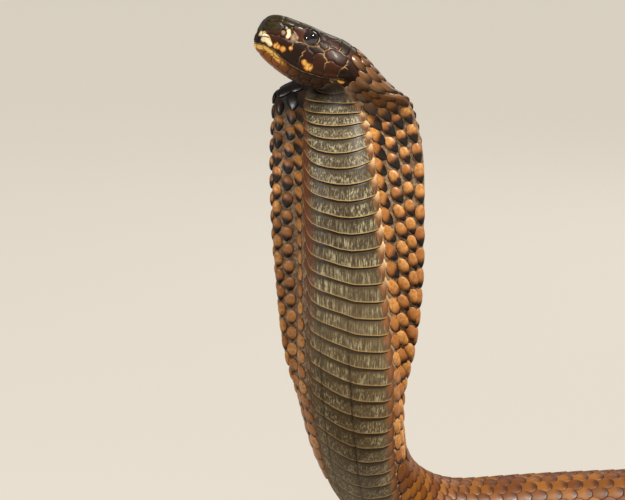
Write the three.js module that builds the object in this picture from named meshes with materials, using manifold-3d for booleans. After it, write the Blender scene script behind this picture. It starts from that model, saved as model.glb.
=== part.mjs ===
// King cobra raised in its threat pose, hood spread, the rest of the body lying in loose bends.
// Life size, millimetres, +Z up. The belly rests on Z = 0.
// The flesh is one smooth skin through rings of control points. Each named length is a piece of it.

import * as THREE from 'three';
import Module from 'manifold-3d';

const wasm = await Module();
wasm.setup();

// Where the origin lies on the belly flat of the first length on the ground
const FOOT_X = 129.6;
const FOOT_Y = 101.4;

// Gap between neighbouring pieces, and the length next to a cut over which the relief dies away
const GAP = 0.3;
const RELIEF_FADE = 0.7;

// Head: place of the snout tip, turn away from the viewer's side and tilt
const SNOUT = [-60.5, -8.0, 361.5];
const HEAD_YAW = 75.0;
const HEAD_PITCH = 26.5;

// Head rings: distance back from the snout, top, bottom, half width of crown, cheek and jaw
const HEAD = [
  { x: 0.0, top: 4.0, bottom: 2.0, crown: 0.5, cheek: 0.5, jaw: 0.5 },
  { x: -0.6, top: 12.2, bottom: -2.8, crown: 5.0, cheek: 7.4, jaw: 4.5 },
  { x: 2.5, top: 17.5, bottom: -6.3, crown: 7.5, cheek: 11.4, jaw: 7.0 },
  { x: 9.0, top: 20.6, bottom: -9.5, crown: 9.0, cheek: 13.4, jaw: 9.3 },
  { x: 18.0, top: 21.4, bottom: -12.2, crown: 11.5, cheek: 16.0, jaw: 11.8 },
  { x: 28.0, top: 21.6, bottom: -14.0, crown: 14.5, cheek: 18.5, jaw: 14.3 },
  { x: 38.0, top: 22.4, bottom: -14.8, crown: 15.0, cheek: 22.3, jaw: 17.0 },
  { x: 48.0, top: 23.4, bottom: -13.5, crown: 16.0, cheek: 24.7, jaw: 19.0 },
  { x: 57.0, top: 24.2, bottom: -9.5, crown: 16.5, cheek: 24.3, jaw: 18.5 },
];

// Raised part: centre, turn of the belly side, half width and depths of the column of the neck,
// then reach, setback, thickness, lift and sideways sway of the hood's flaps
const NECK = [
  [-7.8, 8.5, 328, 42, 20, 15, 23.5, 36, 4, 17, 0, -2.4],
  [-8, 9.5, 317, 24, 20, 16.5, 21, 47.5, 6, 10, 8, -2.2],
  [-8, 8, 306, 14, 20, 18.5, 17, 46.2, 7, 8, 10, 1.3],
  [-7.6, 5, 292, 8, 21.5, 21, 15, 48.8, 7, 7, 8, 3.6],
  [-7, 2, 276, 6, 23, 23.5, 15, 50.2, 7, 6.5, 5, 4.6],
  [-6, 0, 256, 5, 24, 25, 15, 50, 7, 6.5, 3, 4],
  [-5.5, 0, 235, 5, 25, 26, 15, 49.5, 7, 6.5, 1, 3.6],
  [-4.6, 1, 213, 5, 26, 27, 16, 48.2, 7, 7, 0, 3.2],
  [-3.6, 3, 191, 5, 27.5, 28, 17, 46.5, 7, 7.5, 0, 2.5],
  [-2.8, 7, 169, 6, 29.5, 29, 18, 44.5, 6, 8.5, 0, 1.5],
  [-1.6, 12, 147, 6, 31, 29, 20, 42.3, 5, 10, 0, 0.8],
  [0.4, 19, 126, 7, 31.5, 29, 22, 39, 4, 12.5, 0, 0],
  [3.2, 28, 105, 9, 31.5, 29, 24, 35, 2, 18, 0, 0],
  [7.5, 40, 84, 14, 29.5, 28, 26, 30, 0, 24, 0, 0],
  [15.5, 54, 64, 24, 28, 27, 27, 28, 0, 27, 0, 0],
  [28, 67, 46, 40, 27.5, 27, 27, 27.5, 0, 27, 0, 0],
  [48, 77, 32, 56, 27, 27, 27, 27, 0, 27, 0, 0],
].map(([x, y, z, yaw, col, ven, dor, flap, back, thick, lift, sway]) => (
  { at: [x, y, z], yaw, col, ven, dor, flap, back, thick, lift, sway }
));

// Share of the sway at each point of a ring, from the belly line to the back
const SWAY_SHARE = [0, 0, 0, 0.15, 0.6, 1, 1, 0.8, 0.6];

// Path on the ground: start, heading and a run of lengths with their turns in degrees
const GROUND_START = [72, 84];
const GROUND_HEADING = 15;
const GROUND_STEP = 28;
const BENDS = [[130, -8], [360, -187], [380, 10], [225, 182], [380, -8], [290, -180], [250, 16], [270, -40]];

// Body radius along the ground, by share of the path
const RADIUS_AT = [0, 0.1, 0.35, 0.55, 0.7, 0.78, 0.84, 0.93, 0.98, 1];
const RADIUS = [27.5, 28.5, 31, 30.5, 26, 20.5, 16.5, 10, 5.5, 2.4];
const BELLY_SINK = 0.9;

// Eyes: place of the ball on the head and its radius; the lens shows through a round opening
const EYE_BACK = 29.5;
const EYE_UP = 13.5;
const EYE_OUT = 11.7;
const EYE_RADIUS = 6.2;

// Line of the mouth, as distance back and height, from the snout to the corner
const MOUTH_BACK = [-8, 1.1, 4, 6, 9.4, 12.9, 17, 21.8, 26.8, 33.3, 39, 45.6, 51.1, 58.5, 62];
const MOUTH_UP = [-3.2, -3.4, -2.5, -1.9, -2.5, -3.2, -4.8, -6.1, -6.8, -7, -6.1, -5.2, -3, 0.2, 1.5];

// Soft swellings and hollows of the head: place back and up, spread both ways and height
const FORMS = [
  { name: 'brow', back: 29.5, up: 20.0, wide: 8, tall: 2.2, height: 1.5 },
  { name: 'orbit', back: 29.0, up: 14.4, wide: 6.4, tall: 6.0, height: -0.6 },
  { name: 'lore', back: 18.5, up: 10.5, wide: 4.5, tall: 4.5, height: -0.8 },
  { name: 'canthus', back: 14, up: 17.0, wide: 8, tall: 2.4, height: 0.6 },
  { name: 'cheek', back: 49, up: 5.5, wide: 8, tall: 6, height: 1.0 },
];
const LIP_HEIGHT = 0.8;
const LIP_START = 1;
const LIP_FRONT = 0.15;
const LIP_END = 56;
const LIP_FADE = 8;
const LIP_OFFSET = 2.2;
const LIP_SPREAD = 1.5;
const NOSTRIL = { back: 11.6, up: 10.4, out: 13.4, along: 1.5, deep: 1.6, tall: 1.9 };

// Belly plates: spacing down the neck, height of the free rear edge and reach round the neck
const PLATE_START = 13.2;
const PITCH_U = [8.5, 9.6, 10.5, 11.8, 12.8, 13.3, 15.2, 17, 18.5, 20, 22, 28];
const PITCH_AT = [7.2, 7.8, 8.4, 9.1, 10.0, 10.4, 10.4, 10.7, 12.2, 12.8, 12.4, 11.1];
const PLATE_EDGE = 0.9;
const PLATE_STEP = 0.5;
const PLATE_REACH = 2.35;

// Slant of the plates: how far forward a rear edge lies round the neck, at four places down it
const SLANT_U = [12.5, 15.1, 17, 18.9];
const SLANT_AT = [-8, -2.3, -1.8, -1.4, -1, -0.5, 0, 0.6, 1.2, 1.7, 2.2, 8];
const SLANT = [
  [4, 18, 11, 5.3, 2.5, 0.8, 0, 0, 1.1, 3.2, 5, 4],
  [4, 18, 11.5, 6.5, 4.2, 2.3, 0, -1.3, -1.2, -0.8, -0.3, 4],
  [4, 20, 13, 8, 4.8, 2.3, 0, -3.4, -5, -6.4, -7.4, 4],
  [4, 24, 19, 13.5, 9.5, 4.2, 0, -3.6, -6, -8.5, -9.8, 4],
];
const SLANT_FADE = 1.2;
const SLANT_SHARE = 0.6;

// Scales of the hood's front: columns round the flap, with the dips between them, and their height
const SCALE_FIRST = 2.75;
const SCALE_LAST = 5.0;
const SCALE_COLUMNS = 4;
const SCALE_HEIGHT = 1.1;
const SCALE_LOW = 0.15;

// Where the relief of the hood's sides begins, behind the jaw, and the length over which it grows.
// The head's own relief ends a little before its cut. Plates under the throat reach a shorter way round.
const SCALE_START = 9.4;
const NAPE_FADE = 2;
const HEAD_CALM = 0.4;
const THROAT_REACH = 1.5;

// Ring layout
const RING = 16;
const HALF = 9;

const rad = (a) => (a * Math.PI) / 180;
const mix = (a, b, t) => a + (b - a) * t;
const clamp = (x, a, b) => Math.min(b, Math.max(a, x));
const add = (a, b) => [a[0] + b[0], a[1] + b[1], a[2] + b[2]];
const sub = (a, b) => [a[0] - b[0], a[1] - b[1], a[2] - b[2]];
const mul = (a, k) => [a[0] * k, a[1] * k, a[2] * k];
const dot = (a, b) => a[0] * b[0] + a[1] * b[1] + a[2] * b[2];
const cross = (a, b) => [a[1] * b[2] - a[2] * b[1], a[2] * b[0] - a[0] * b[2], a[0] * b[1] - a[1] * b[0]];
const unit = (a) => mul(a, 1 / Math.hypot(...a));

function table(x, xs, ys) {
  let i = 0;
  while (i < xs.length - 2 && x > xs[i + 1]) i += 1;
  const t = clamp((x - xs[i]) / (xs[i + 1] - xs[i]), 0, 1);
  return mix(ys[i], ys[i + 1], t);
}

// Half outline of the head at one ring, from the throat up to the crown
function headHalf(r) {
  const h = r.top - r.bottom;
  return [
    [0, r.bottom, 0, 0],
    [0.55 * r.jaw, r.bottom, 0, 0],
    [r.jaw, r.bottom + 0.16 * h, 0, 0],
    [0.93 * r.cheek, r.bottom + 0.36 * h, 0, 0],
    [r.cheek, r.bottom + 0.52 * h, 0, 0],
    [mix(r.cheek, r.crown, 0.35), r.bottom + 0.74 * h, 0, 0],
    [r.crown, r.bottom + 0.94 * h, 0, 0],
    [0.5 * r.crown, r.top, 0, 0],
    [0, r.top, 0, 0],
  ];
}

// Half outline of the neck and body at one ring: round, or with the hood's flap
function bodyHalf(r) {
  const spread = clamp((r.flap - r.col) / 14, 0, 1);
  const hood = spread * spread * (3 - 2 * spread);
  const reach = Math.max(r.flap, r.col);
  const flat = [
    [0, -r.ven],
    [0.5 * r.col, -0.99 * r.ven],
    [1.02 * r.col, -0.68 * r.ven],
    [1.06 * r.col, -0.05 * r.ven],
    [mix(r.col, reach, 0.5), r.back - 0.55 * r.thick],
    [reach, r.back - 0.55 * r.thick],
    [reach, r.back + 0.55 * r.thick],
    [0.9 * mix(r.col, reach, 0.3), mix(r.dor, r.back + 0.5 * r.thick, 0.25)],
    [0, r.dor],
  ];
  return flat.map((p, i) => {
    const a = rad(22.5 * i);
    const depth = i < 4 ? r.ven : r.dor;
    const round = [(r.col * Math.sin(a)) / 0.9746, (-depth * Math.cos(a)) / 0.9746];
    const x = mix(round[0], p[0], hood);
    const y = mix(round[1], p[1], hood);
    return [x, y, r.lift * clamp((x - r.col) / Math.max(1, r.flap - r.col), 0, 1), r.sway * SWAY_SHARE[i]];
  });
}

const bodyRadius = (s) => table(s / groundLength, RADIUS_AT, RADIUS);
const groundLength = BENDS.reduce((t, b) => t + b[0], 0);

// Points of the ground path every two millimetres
function groundPath() {
  const out = [];
  let x = GROUND_START[0];
  let y = GROUND_START[1];
  let a = rad(GROUND_HEADING);
  out.push([x, y]);
  for (const [length, turn] of BENDS) {
    const n = Math.round(length / 2);
    const ds = length / n;
    for (let k = 0; k < n; k += 1) {
      const f = (k + 0.5) / n;
      const ease = Math.min(1, f / 0.2, (1 - f) / 0.2) / 0.8;
      const rate = Math.abs(turn) < 40 ? 1 - Math.cos(2 * Math.PI * f) : ease;
      a += ((rad(turn) / length) * rate) * ds;
      x += ds * Math.cos(a);
      y += ds * Math.sin(a);
      out.push([x, y]);
    }
  }
  return out;
}

const headForward = [
  -Math.cos(rad(HEAD_PITCH)) * Math.sin(rad(HEAD_YAW)),
  -Math.cos(rad(HEAD_PITCH)) * Math.cos(rad(HEAD_YAW)),
  Math.sin(rad(HEAD_PITCH)),
];
const headUp = unit(sub([0, 0, 1], mul(headForward, headForward[2])));
const headLeft = cross(headUp, headForward);

// All control rings, each a list of points in space
function controlNet() {
  const rings = [];
  const ringAt = (c, t, d, half) => {
    const l = cross(d, t);
    const ring = [];
    for (let j = 0; j < RING; j += 1) {
      const k = j < HALF ? j : RING - j;
      const side = j < HALF ? 1 : -1;
      const p = half[k];
      ring.push(add(add(c, mul(l, side * p[0] + p[3])), add(mul(d, p[1]), mul(t, p[2]))));
    }
    return ring;
  };
  for (const r of HEAD) {
    rings.push(ringAt(sub(SNOUT, mul(headForward, r.x)), headForward, headUp, headHalf(r)));
  }
  const centres = [sub(SNOUT, mul(headForward, HEAD[HEAD.length - 1].x))];
  for (const r of NECK) centres.push(r.at);
  const path = groundPath();
  const grounds = [];
  for (let i = 0; i < path.length; i += GROUND_STEP / 2) {
    const radius = bodyRadius(i * 2);
    grounds.push(radius);
    centres.push([path[i][0], path[i][1], radius * BELLY_SINK]);
  }
  for (let i = 1; i < centres.length; i += 1) {
    const t = unit(sub(centres[i - 1], centres[Math.min(i + 1, centres.length - 1)]));
    const r = NECK[i - 1];
    let hint = [0, 0, 1];
    let half;
    if (r) {
      const y = rad(r.yaw);
      const rise = Math.max(0, (110 - r.at[2]) / 80);
      hint = unit(add([Math.sin(y), Math.cos(y), 0], [0, 0, 1.2 * rise]));
      half = bodyHalf(r);
    } else {
      const q = grounds[i - 1 - NECK.length];
      half = bodyHalf({ col: q, ven: q, dor: q, flap: q, back: 0, thick: q, lift: 0, sway: 0 });
    }
    const d = unit(sub(hint, mul(t, dot(hint, t))));
    rings.push(ringAt(centres[i], t, d, half));
  }
  return rings;
}

const net = controlNet();
const LAST = net.length - 1;

const basis = (t) => [
  (1 - t) ** 3 / 6,
  (3 * t ** 3 - 6 * t ** 2 + 4) / 6,
  (-3 * t ** 3 + 3 * t ** 2 + 3 * t + 1) / 6,
  t ** 3 / 6,
];

// Point of the skin: u counts control rings from the snout, v goes round from the belly line
function skin(u, v) {
  const iu = Math.floor(u);
  const iv = Math.floor(v);
  const bu = basis(u - iu);
  const bv = basis(v - iv);
  const p = [0, 0, 0];
  for (let a = 0; a < 4; a += 1) {
    const ring = net[clamp(iu - 1 + a, 0, LAST)];
    for (let b = 0; b < 4; b += 1) {
      const q = ring[(iv - 1 + b + 2 * RING) % RING];
      const w = bu[a] * bv[b];
      p[0] += w * q[0];
      p[1] += w * q[1];
      p[2] += w * q[2];
    }
  }
  return [p[0] - FOOT_X, p[1] - FOOT_Y, Math.max(0, p[2])];
}

// Outward normal of the skin
function skinNormal(u, v) {
  const e = 0.02;
  const along = sub(skin(Math.min(u + e, LAST), v), skin(Math.max(u - e, 0), v));
  const round = sub(skin(u, v + e), skin(u, v - e + RING));
  return unit(cross(along, round));
}

// Even list from one value to another
const steps = (from, to, count) => Array.from({ length: count + 1 }, (_, i) => mix(from, to, i / count));

// Both sides of the ring from places on one side
const bothSides = (half) => [...half, ...half.slice(1, -1).reverse().map((v) => RING - v)];

const evenRound = (count) => steps(0, RING, count).slice(0, -1);

// Closed piece of skin through given places along and round it, with a flat fan at each end.
// The trims say how far each end stands back from its cut. The last two arguments give the height
// of the relief over the skin and the slant of the rows.
function piece(along, round, trimStart, trimEnd, relief, slant) {
  const pos = [];
  const tri = [];
  const rows = along.length - 1;
  const around = round.length;
  for (let i = 0; i <= rows; i += 1) {
    const u = along[i];
    const mid = ringMiddle(u);
    let shift = [0, 0, 0];
    if ((i === 0 && trimStart) || (i === rows && trimEnd)) {
      const t = unit(sub(ringMiddle(u + 0.02), ringMiddle(u - 0.02)));
      shift = mul(t, i === 0 ? trimStart : -trimEnd);
      if (mid[2] < 40) shift[2] = 0;
    }
    for (const v of round) {
      const place = slant ? u + slant(u, v, along[0], along[rows]) : u;
      let p = skin(place, v);
      const height = relief ? relief(i, u, v, p) * calm(u, along, trimStart > 0) : 0;
      if (height) p = add(p, mul(skinNormal(place, v), height));
      p[2] = Math.max(0, p[2]);
      pos.push(...add(p, shift));
    }
    if (i === 0 || i === rows) pos.push(...add(mid, shift));
  }
  const start = (i) => i * around + (i > 0 ? 1 : 0);
  for (let i = 0; i < rows; i += 1) {
    for (let j = 0; j < around; j += 1) {
      const n = (j + 1) % around;
      const a = start(i) + j;
      const b = start(i) + n;
      const c = start(i + 1) + j;
      const d = start(i + 1) + n;
      tri.push(a, c, b, b, c, d);
    }
  }
  const last = start(rows) + around;
  for (let j = 0; j < around; j += 1) {
    const n = (j + 1) % around;
    tri.push(j, n, around);
    tri.push(start(rows) + n, start(rows) + j, last);
  }
  return solid(pos, tri);
}

// Share of the relief kept at a place along a piece, none at its cuts. The snout keeps its relief.
function calm(u, along, cutStart) {
  const start = cutStart ? u - along[0] : RELIEF_FADE;
  const end = along[along.length - 1] - u;
  return clamp(Math.min(start, end) / RELIEF_FADE, 0, 1);
}

function ringMiddle(u) {
  const c = [0, 0, 0];
  for (let j = 0; j < RING; j += 1) {
    const p = skin(u, j);
    for (let k = 0; k < 3; k += 1) c[k] += p[k] / RING;
  }
  return c;
}

// Solid from points and triangles, turned right side out
function solid(pos, tri) {
  let volume = 0;
  for (let i = 0; i < tri.length; i += 3) {
    const [a, b, c] = [0, 1, 2].map((k) => pos.slice(3 * tri[i + k], 3 * tri[i + k] + 3));
    volume += dot(a, cross(b, c)) / 6;
  }
  if (volume < 0) {
    for (let i = 0; i < tri.length; i += 3) [tri[i + 1], tri[i + 2]] = [tri[i + 2], tri[i + 1]];
  }
  const mesh = new wasm.Mesh({
    numProp: 3,
    vertProperties: Float32Array.from(pos),
    triVerts: Uint32Array.from(tri),
  });
  return new wasm.Manifold(mesh);
}

// Point of the head frame in the model's frame
function headPoint(back, left, up) {
  const p = add(add(sub(SNOUT, mul(headForward, back)), mul(headLeft, left)), mul(headUp, up));
  return [p[0] - FOOT_X, p[1] - FOOT_Y, p[2]];
}

// Ball squashed along the head's axes
function headBall(back, left, up, rx, ry, rz, rows, around) {
  const pos = [];
  const tri = [];
  for (let i = 0; i <= rows; i += 1) {
    const a = (Math.PI * i) / rows;
    const n = i === 0 || i === rows ? 1 : around;
    for (let j = 0; j < n; j += 1) {
      const b = (2 * Math.PI * j) / around;
      const x = Math.sin(a) * Math.cos(b) * rx;
      const z = Math.sin(a) * Math.sin(b) * rz;
      pos.push(...headPoint(back + x, left + Math.cos(a) * ry, up + z));
    }
  }
  const row = (i) => (i === 0 ? 0 : 1 + (i - 1) * around);
  for (let i = 0; i < rows; i += 1) {
    for (let j = 0; j < around; j += 1) {
      const n = (j + 1) % around;
      if (i === 0) tri.push(0, row(1) + j, row(1) + n);
      else if (i === rows - 1) tri.push(row(i) + j, row(rows), row(i) + n);
      else {
        tri.push(row(i) + j, row(i + 1) + j, row(i) + n);
        tri.push(row(i) + n, row(i + 1) + j, row(i + 1) + n);
      }
    }
  }
  return solid(pos, tri);
}

// Prism across the head from an outline given as back and up
function headPrism(outline, half) {
  const flat = outline.map((p) => new THREE.Vector2(p[0], p[1]));
  if (THREE.ShapeUtils.area(flat) < 0) flat.reverse();
  const pos = [];
  const tri = [];
  const n = flat.length;
  for (const side of [-half, half]) {
    for (const p of flat) pos.push(...headPoint(p.x, side, p.y));
  }
  for (const face of THREE.ShapeUtils.triangulateShape(flat, [])) {
    const [a, b, c] = face;
    const turn = THREE.ShapeUtils.area([flat[a], flat[b], flat[c]]) > 0;
    tri.push(a, turn ? b : c, turn ? c : b);
    tri.push(n + a, n + (turn ? c : b), n + (turn ? b : c));
  }
  for (let i = 0; i < n; i += 1) {
    const k = (i + 1) % n;
    tri.push(i, n + i, k, k, n + i, n + k);
  }
  return solid(pos, tri);
}

// Largest closed surface of a result
function keepLargest(m) {
  const parts = m.decompose();
  let best = parts[0];
  for (const p of parts) if (p.volume() > best.volume()) best = p;
  return best;
}

function mouthPrism(lift) {
  const top = MOUTH_BACK.map((x, i) => [x, MOUTH_UP[i] + lift]);
  const corner = top.pop();
  return headPrism([...top, [corner[0] + lift, corner[1]], [corner[0] + lift, -40], [-8, -40]], 40);
}

// Relief of the head: lips along the mouth, brow, cheek and the hollows round the eye
function headRelief(i, u, v, p) {
  const q = sub(add(p, [FOOT_X, FOOT_Y, 0]), SNOUT);
  const back = -dot(q, headForward);
  const up = dot(q, headUp);
  let height = 0;
  for (const f of FORMS) {
    const away = ((back - f.back) / f.wide) ** 2 + ((up - f.up) / f.tall) ** 2;
    height += f.height * Math.exp(-away);
  }
  const fromLine = Math.abs(up - table(back, MOUTH_BACK, MOUTH_UP));
  const front = mix(LIP_FRONT, 1, clamp((back - LIP_START) / LIP_FADE, 0, 1));
  const fade = front * clamp((LIP_END - back) / LIP_FADE, 0, 1);
  height += LIP_HEIGHT * fade * Math.exp(-(((fromLine - LIP_OFFSET) / LIP_SPREAD) ** 2));
  return height * clamp((HEAD_END - HEAD_CALM - u) / NAPE_FADE, 0, 1);
}

// Places along the neck, in control rings, where the belly plates end
function plateEdges(from, to) {
  const out = [];
  let travelled = 0;
  let next = PLATE_START;
  let before = skin(from, 0);
  for (let u = from; u < to; u += 0.005) {
    const p = skin(u, 0);
    travelled += Math.hypot(...sub(p, before));
    before = p;
    if (travelled >= next) {
      out.push({ u, perMm: 0.005 / Math.max(0.02, Math.hypot(...sub(skin(u + 0.005, 0), p))) });
      next += table(u, PITCH_U, PITCH_AT);
    }
  }
  return out;
}

// Rows of a length with plates: just past an edge, half way and just before the next edge
function plateRows(from, to, edges) {
  const rows = [{ u: from, kind: 'end' }];
  const inside = edges.filter((e) => e.u > from + 0.12 && e.u < to - 0.12);
  inside.forEach((e, k) => {
    const half = (PLATE_STEP / 2) * e.perMm;
    const before = k > 0 ? inside[k - 1].u : from;
    if (k > 0) rows.push({ u: mix(before, e.u, 0.5), kind: 'middle' });
    else for (const share of [0.25, 0.5, 0.75]) rows.push({ u: mix(from, e.u, share), kind: 'end' });
    rows.push({ u: e.u - half, kind: 'edge' });
    rows.push({ u: e.u + half, kind: 'start' });
  });
  rows.push({ u: to, kind: 'end' });
  return rows;
}

// Shift of a row with plates at one place round the neck, fading out at both cuts
function plateSlant(u, v, from, to) {
  const side = v > HALF - 1 ? v - RING : v;
  const forward = table(u, SLANT_U, SLANT.map((row) => table(side, SLANT_AT, row)));
  const perMm = 0.02 / Math.hypot(...sub(skin(u + 0.01, 0), skin(u - 0.01, 0)));
  const fade = clamp(Math.min(u - from, to - u) / SLANT_FADE, 0, 1);
  return clamp(-forward * perMm * fade, -SLANT_SHARE * (u - from), SLANT_SHARE * (to - u));
}

const PLATE_LIFT = { edge: PLATE_EDGE, middle: 0.55 * PLATE_EDGE, start: 0.1 * PLATE_EDGE, end: 0 };

// Relief of the raised part: belly plates in front, then scales set like bricks on the hood's flaps
function neckRelief(rows, flapEnd) {
  return (i, u, v) => {
    const side = v > HALF - 1 ? RING - v : v;
    const kind = rows[i].kind;
    const nape = clamp((u - SCALE_START) / NAPE_FADE, 0, 1);
    if (side <= PLATE_REACH) return PLATE_LIFT[kind] * (side < THROAT_REACH ? 1 : nape);
    const column = ((side - SCALE_FIRST) / (SCALE_LAST - SCALE_FIRST)) * SCALE_COLUMNS - 0.5;
    const nearest = Math.round(column);
    if (Math.abs(column - nearest) > 0.01 || nearest < 0 || nearest >= SCALE_COLUMNS) return 0;
    if (kind === 'end' || u > flapEnd) return 0;
    const crest = nearest % 2 === 0 ? kind === 'middle' : kind !== 'middle';
    return (crest ? SCALE_HEIGHT : SCALE_LOW) * nape;
  };
}

// Edges of the cut head shorter than this are drawn together
const SHORTEST = 0.05;

const HEAD_END = 7.5;
const NECK_CUT = 19.5;
const BASE_CUT = 23.6;

const flesh = piece(steps(0, HEAD_END, 36), evenRound(36), 0, GAP / 2, headRelief);
const jaw = keepLargest(flesh.intersect(mouthPrism(-GAP / 2))).asOriginal().simplify(SHORTEST);
let skull = keepLargest(flesh.subtract(mouthPrism(GAP / 2)));
const eyes = [];
for (const side of [1, -1]) {
  const r = EYE_RADIUS;
  const n = NOSTRIL;
  const socket = headBall(EYE_BACK, side * EYE_OUT, EYE_UP, r + GAP, r + GAP, r + GAP, 10, 18);
  const nostril = headBall(n.back, side * n.out, n.up, n.along, n.deep, n.tall, 6, 8);
  skull = keepLargest(skull.subtract(socket).subtract(nostril));
  eyes.push(headBall(EYE_BACK, side * EYE_OUT, EYE_UP, r, r, r, 10, 18));
}
skull = skull.asOriginal().simplify(SHORTEST);

const group = new THREE.Group();
group.name = 'king_cobra';

const SKIN = {
  crown: { color: 0x5a3a22, roughness: 0.42 },
  jaw: { color: 0x9a6838, roughness: 0.45 },
  hood: { color: 0x84603c, roughness: 0.5 },
  body: { color: 0xa87440, roughness: 0.5 },
  tail: { color: 0x6e4a2a, roughness: 0.5 },
  eye: { color: 0x1c1714, roughness: 0.08 },
};

function put(name, manifold, look) {
  const m = manifold.getMesh();
  const geometry = new THREE.BufferGeometry();
  const pos = new Float32Array(m.numVert * 3);
  for (let i = 0; i < m.numVert; i += 1) {
    for (let k = 0; k < 3; k += 1) pos[3 * i + k] = m.vertProperties[i * m.numProp + k];
  }
  geometry.setAttribute('position', new THREE.BufferAttribute(pos, 3));
  geometry.setIndex(new THREE.BufferAttribute(Uint32Array.from(m.triVerts), 1));
  geometry.computeVertexNormals();
  const material = new THREE.MeshStandardMaterial({ ...SKIN[look], metalness: 0 });
  material.name = look;
  const mesh = new THREE.Mesh(geometry, material);
  mesh.name = name;
  group.add(mesh);
}

put('head', skull, 'crown');
put('lower_jaw', jaw, 'jaw');
put('eye_left', eyes[0], 'eye');
put('eye_right', eyes[1], 'eye');

// Hood and the foot of the raised part
const edges = plateEdges(HEAD_END, BASE_CUT + 0.6);
const flapPlaces = steps(SCALE_FIRST, SCALE_LAST, 2 * SCALE_COLUMNS);
const hoodRound = bothSides([...steps(0, PLATE_REACH, 4), ...flapPlaces, ...steps(6, HALF - 1, 3)]);
const hoodRows = plateRows(HEAD_END, NECK_CUT, edges);
const baseRows = plateRows(NECK_CUT, BASE_CUT, edges);
const baseRound = bothSides([...steps(0, PLATE_REACH, 4), SCALE_FIRST, ...steps(3.6, HALF - 1, 7)]);
const alongOf = (rows) => rows.map((r) => r.u);
const hoodShape = neckRelief(hoodRows, NECK_CUT);
const baseShape = neckRelief(baseRows, 0);
put('hood', piece(alongOf(hoodRows), hoodRound, GAP / 2, GAP / 2, hoodShape, plateSlant), 'hood');
put('neck_base', piece(alongOf(baseRows), baseRound, GAP / 2, GAP / 2, baseShape, plateSlant), 'hood');

// Lengths on the ground, each up to a distance along the path
const GROUND_U = HEAD.length + NECK.length;
const onGround = (s) => GROUND_U + s / GROUND_STEP;
const CUTS = [
  ['body_1', 100], ['body_2', 240], ['body_3', 370], ['body_4', 520], ['body_5', 860], ['body_6', 983],
  ['body_7', 1110], ['body_8', 1475], ['body_9', 1625], ['tail_1', 1790], ['tail_2', 2040],
];
const ROW_LENGTH = 16;
let at = BASE_CUT;
for (const [name, s] of CUTS) {
  const to = onGround(s);
  const rows = Math.max(4, Math.round(((to - at) * GROUND_STEP) / ROW_LENGTH));
  const look = name.startsWith('tail') ? 'tail' : 'body';
  put(name, piece(steps(at, to, rows), evenRound(20), GAP / 2, GAP / 2, null), look);
  at = to;
}
const tipRows = Math.round(((LAST - at) * GROUND_STEP) / ROW_LENGTH);
put('tail_tip', piece(steps(at, LAST, tipRows), evenRound(16), GAP / 2, 0, null), 'tail');

export default group;
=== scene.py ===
"""King cobra reared with its hood spread, mouth closed, the rest of the body in loose bends.
Lengths are millimetres up to the last step of each piece, which sets them in metres."""
import bpy
import math
import numpy as np
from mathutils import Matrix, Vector


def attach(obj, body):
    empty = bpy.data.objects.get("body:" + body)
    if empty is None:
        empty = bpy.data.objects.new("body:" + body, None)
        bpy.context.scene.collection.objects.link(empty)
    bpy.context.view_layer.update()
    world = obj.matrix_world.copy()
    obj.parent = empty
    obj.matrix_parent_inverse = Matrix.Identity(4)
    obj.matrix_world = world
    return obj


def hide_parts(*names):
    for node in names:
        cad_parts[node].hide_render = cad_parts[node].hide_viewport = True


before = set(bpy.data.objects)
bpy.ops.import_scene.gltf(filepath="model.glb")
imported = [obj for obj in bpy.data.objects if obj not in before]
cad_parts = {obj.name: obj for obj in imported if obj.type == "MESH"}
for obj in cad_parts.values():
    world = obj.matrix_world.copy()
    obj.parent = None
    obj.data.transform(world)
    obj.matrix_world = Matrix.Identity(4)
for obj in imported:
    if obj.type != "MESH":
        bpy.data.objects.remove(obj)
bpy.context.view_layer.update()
bpy.ops.object.select_all(action="DESELECT")

MM = 0.001

# Where the model's own zero lies, in the lengths of the tables below
FOOT = np.array([129.6, 101.4, 0.0])

# Head: snout tip, turn and tilt, and rings of distance back, top, bottom, crown, cheek and jaw
SNOUT = np.array([-60.5, -8.0, 361.5])
HEAD_YAW = 75.0
HEAD_PITCH = 26.5
HEAD = [
    (0.0, 4.0, 2.0, 0.5, 0.5, 0.5),
    (-0.6, 12.2, -2.8, 5.0, 7.4, 4.5),
    (2.5, 17.5, -6.3, 7.5, 11.4, 7.0),
    (9.0, 20.6, -9.5, 9.0, 13.4, 9.3),
    (18.0, 21.4, -12.2, 11.5, 16.0, 11.8),
    (28.0, 21.6, -14.0, 14.5, 18.5, 14.3),
    (38.0, 22.4, -14.8, 15.0, 22.3, 17.0),
    (48.0, 23.4, -13.5, 16.0, 24.7, 19.0),
    (57.0, 24.2, -9.5, 16.5, 24.3, 18.5),
]

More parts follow.
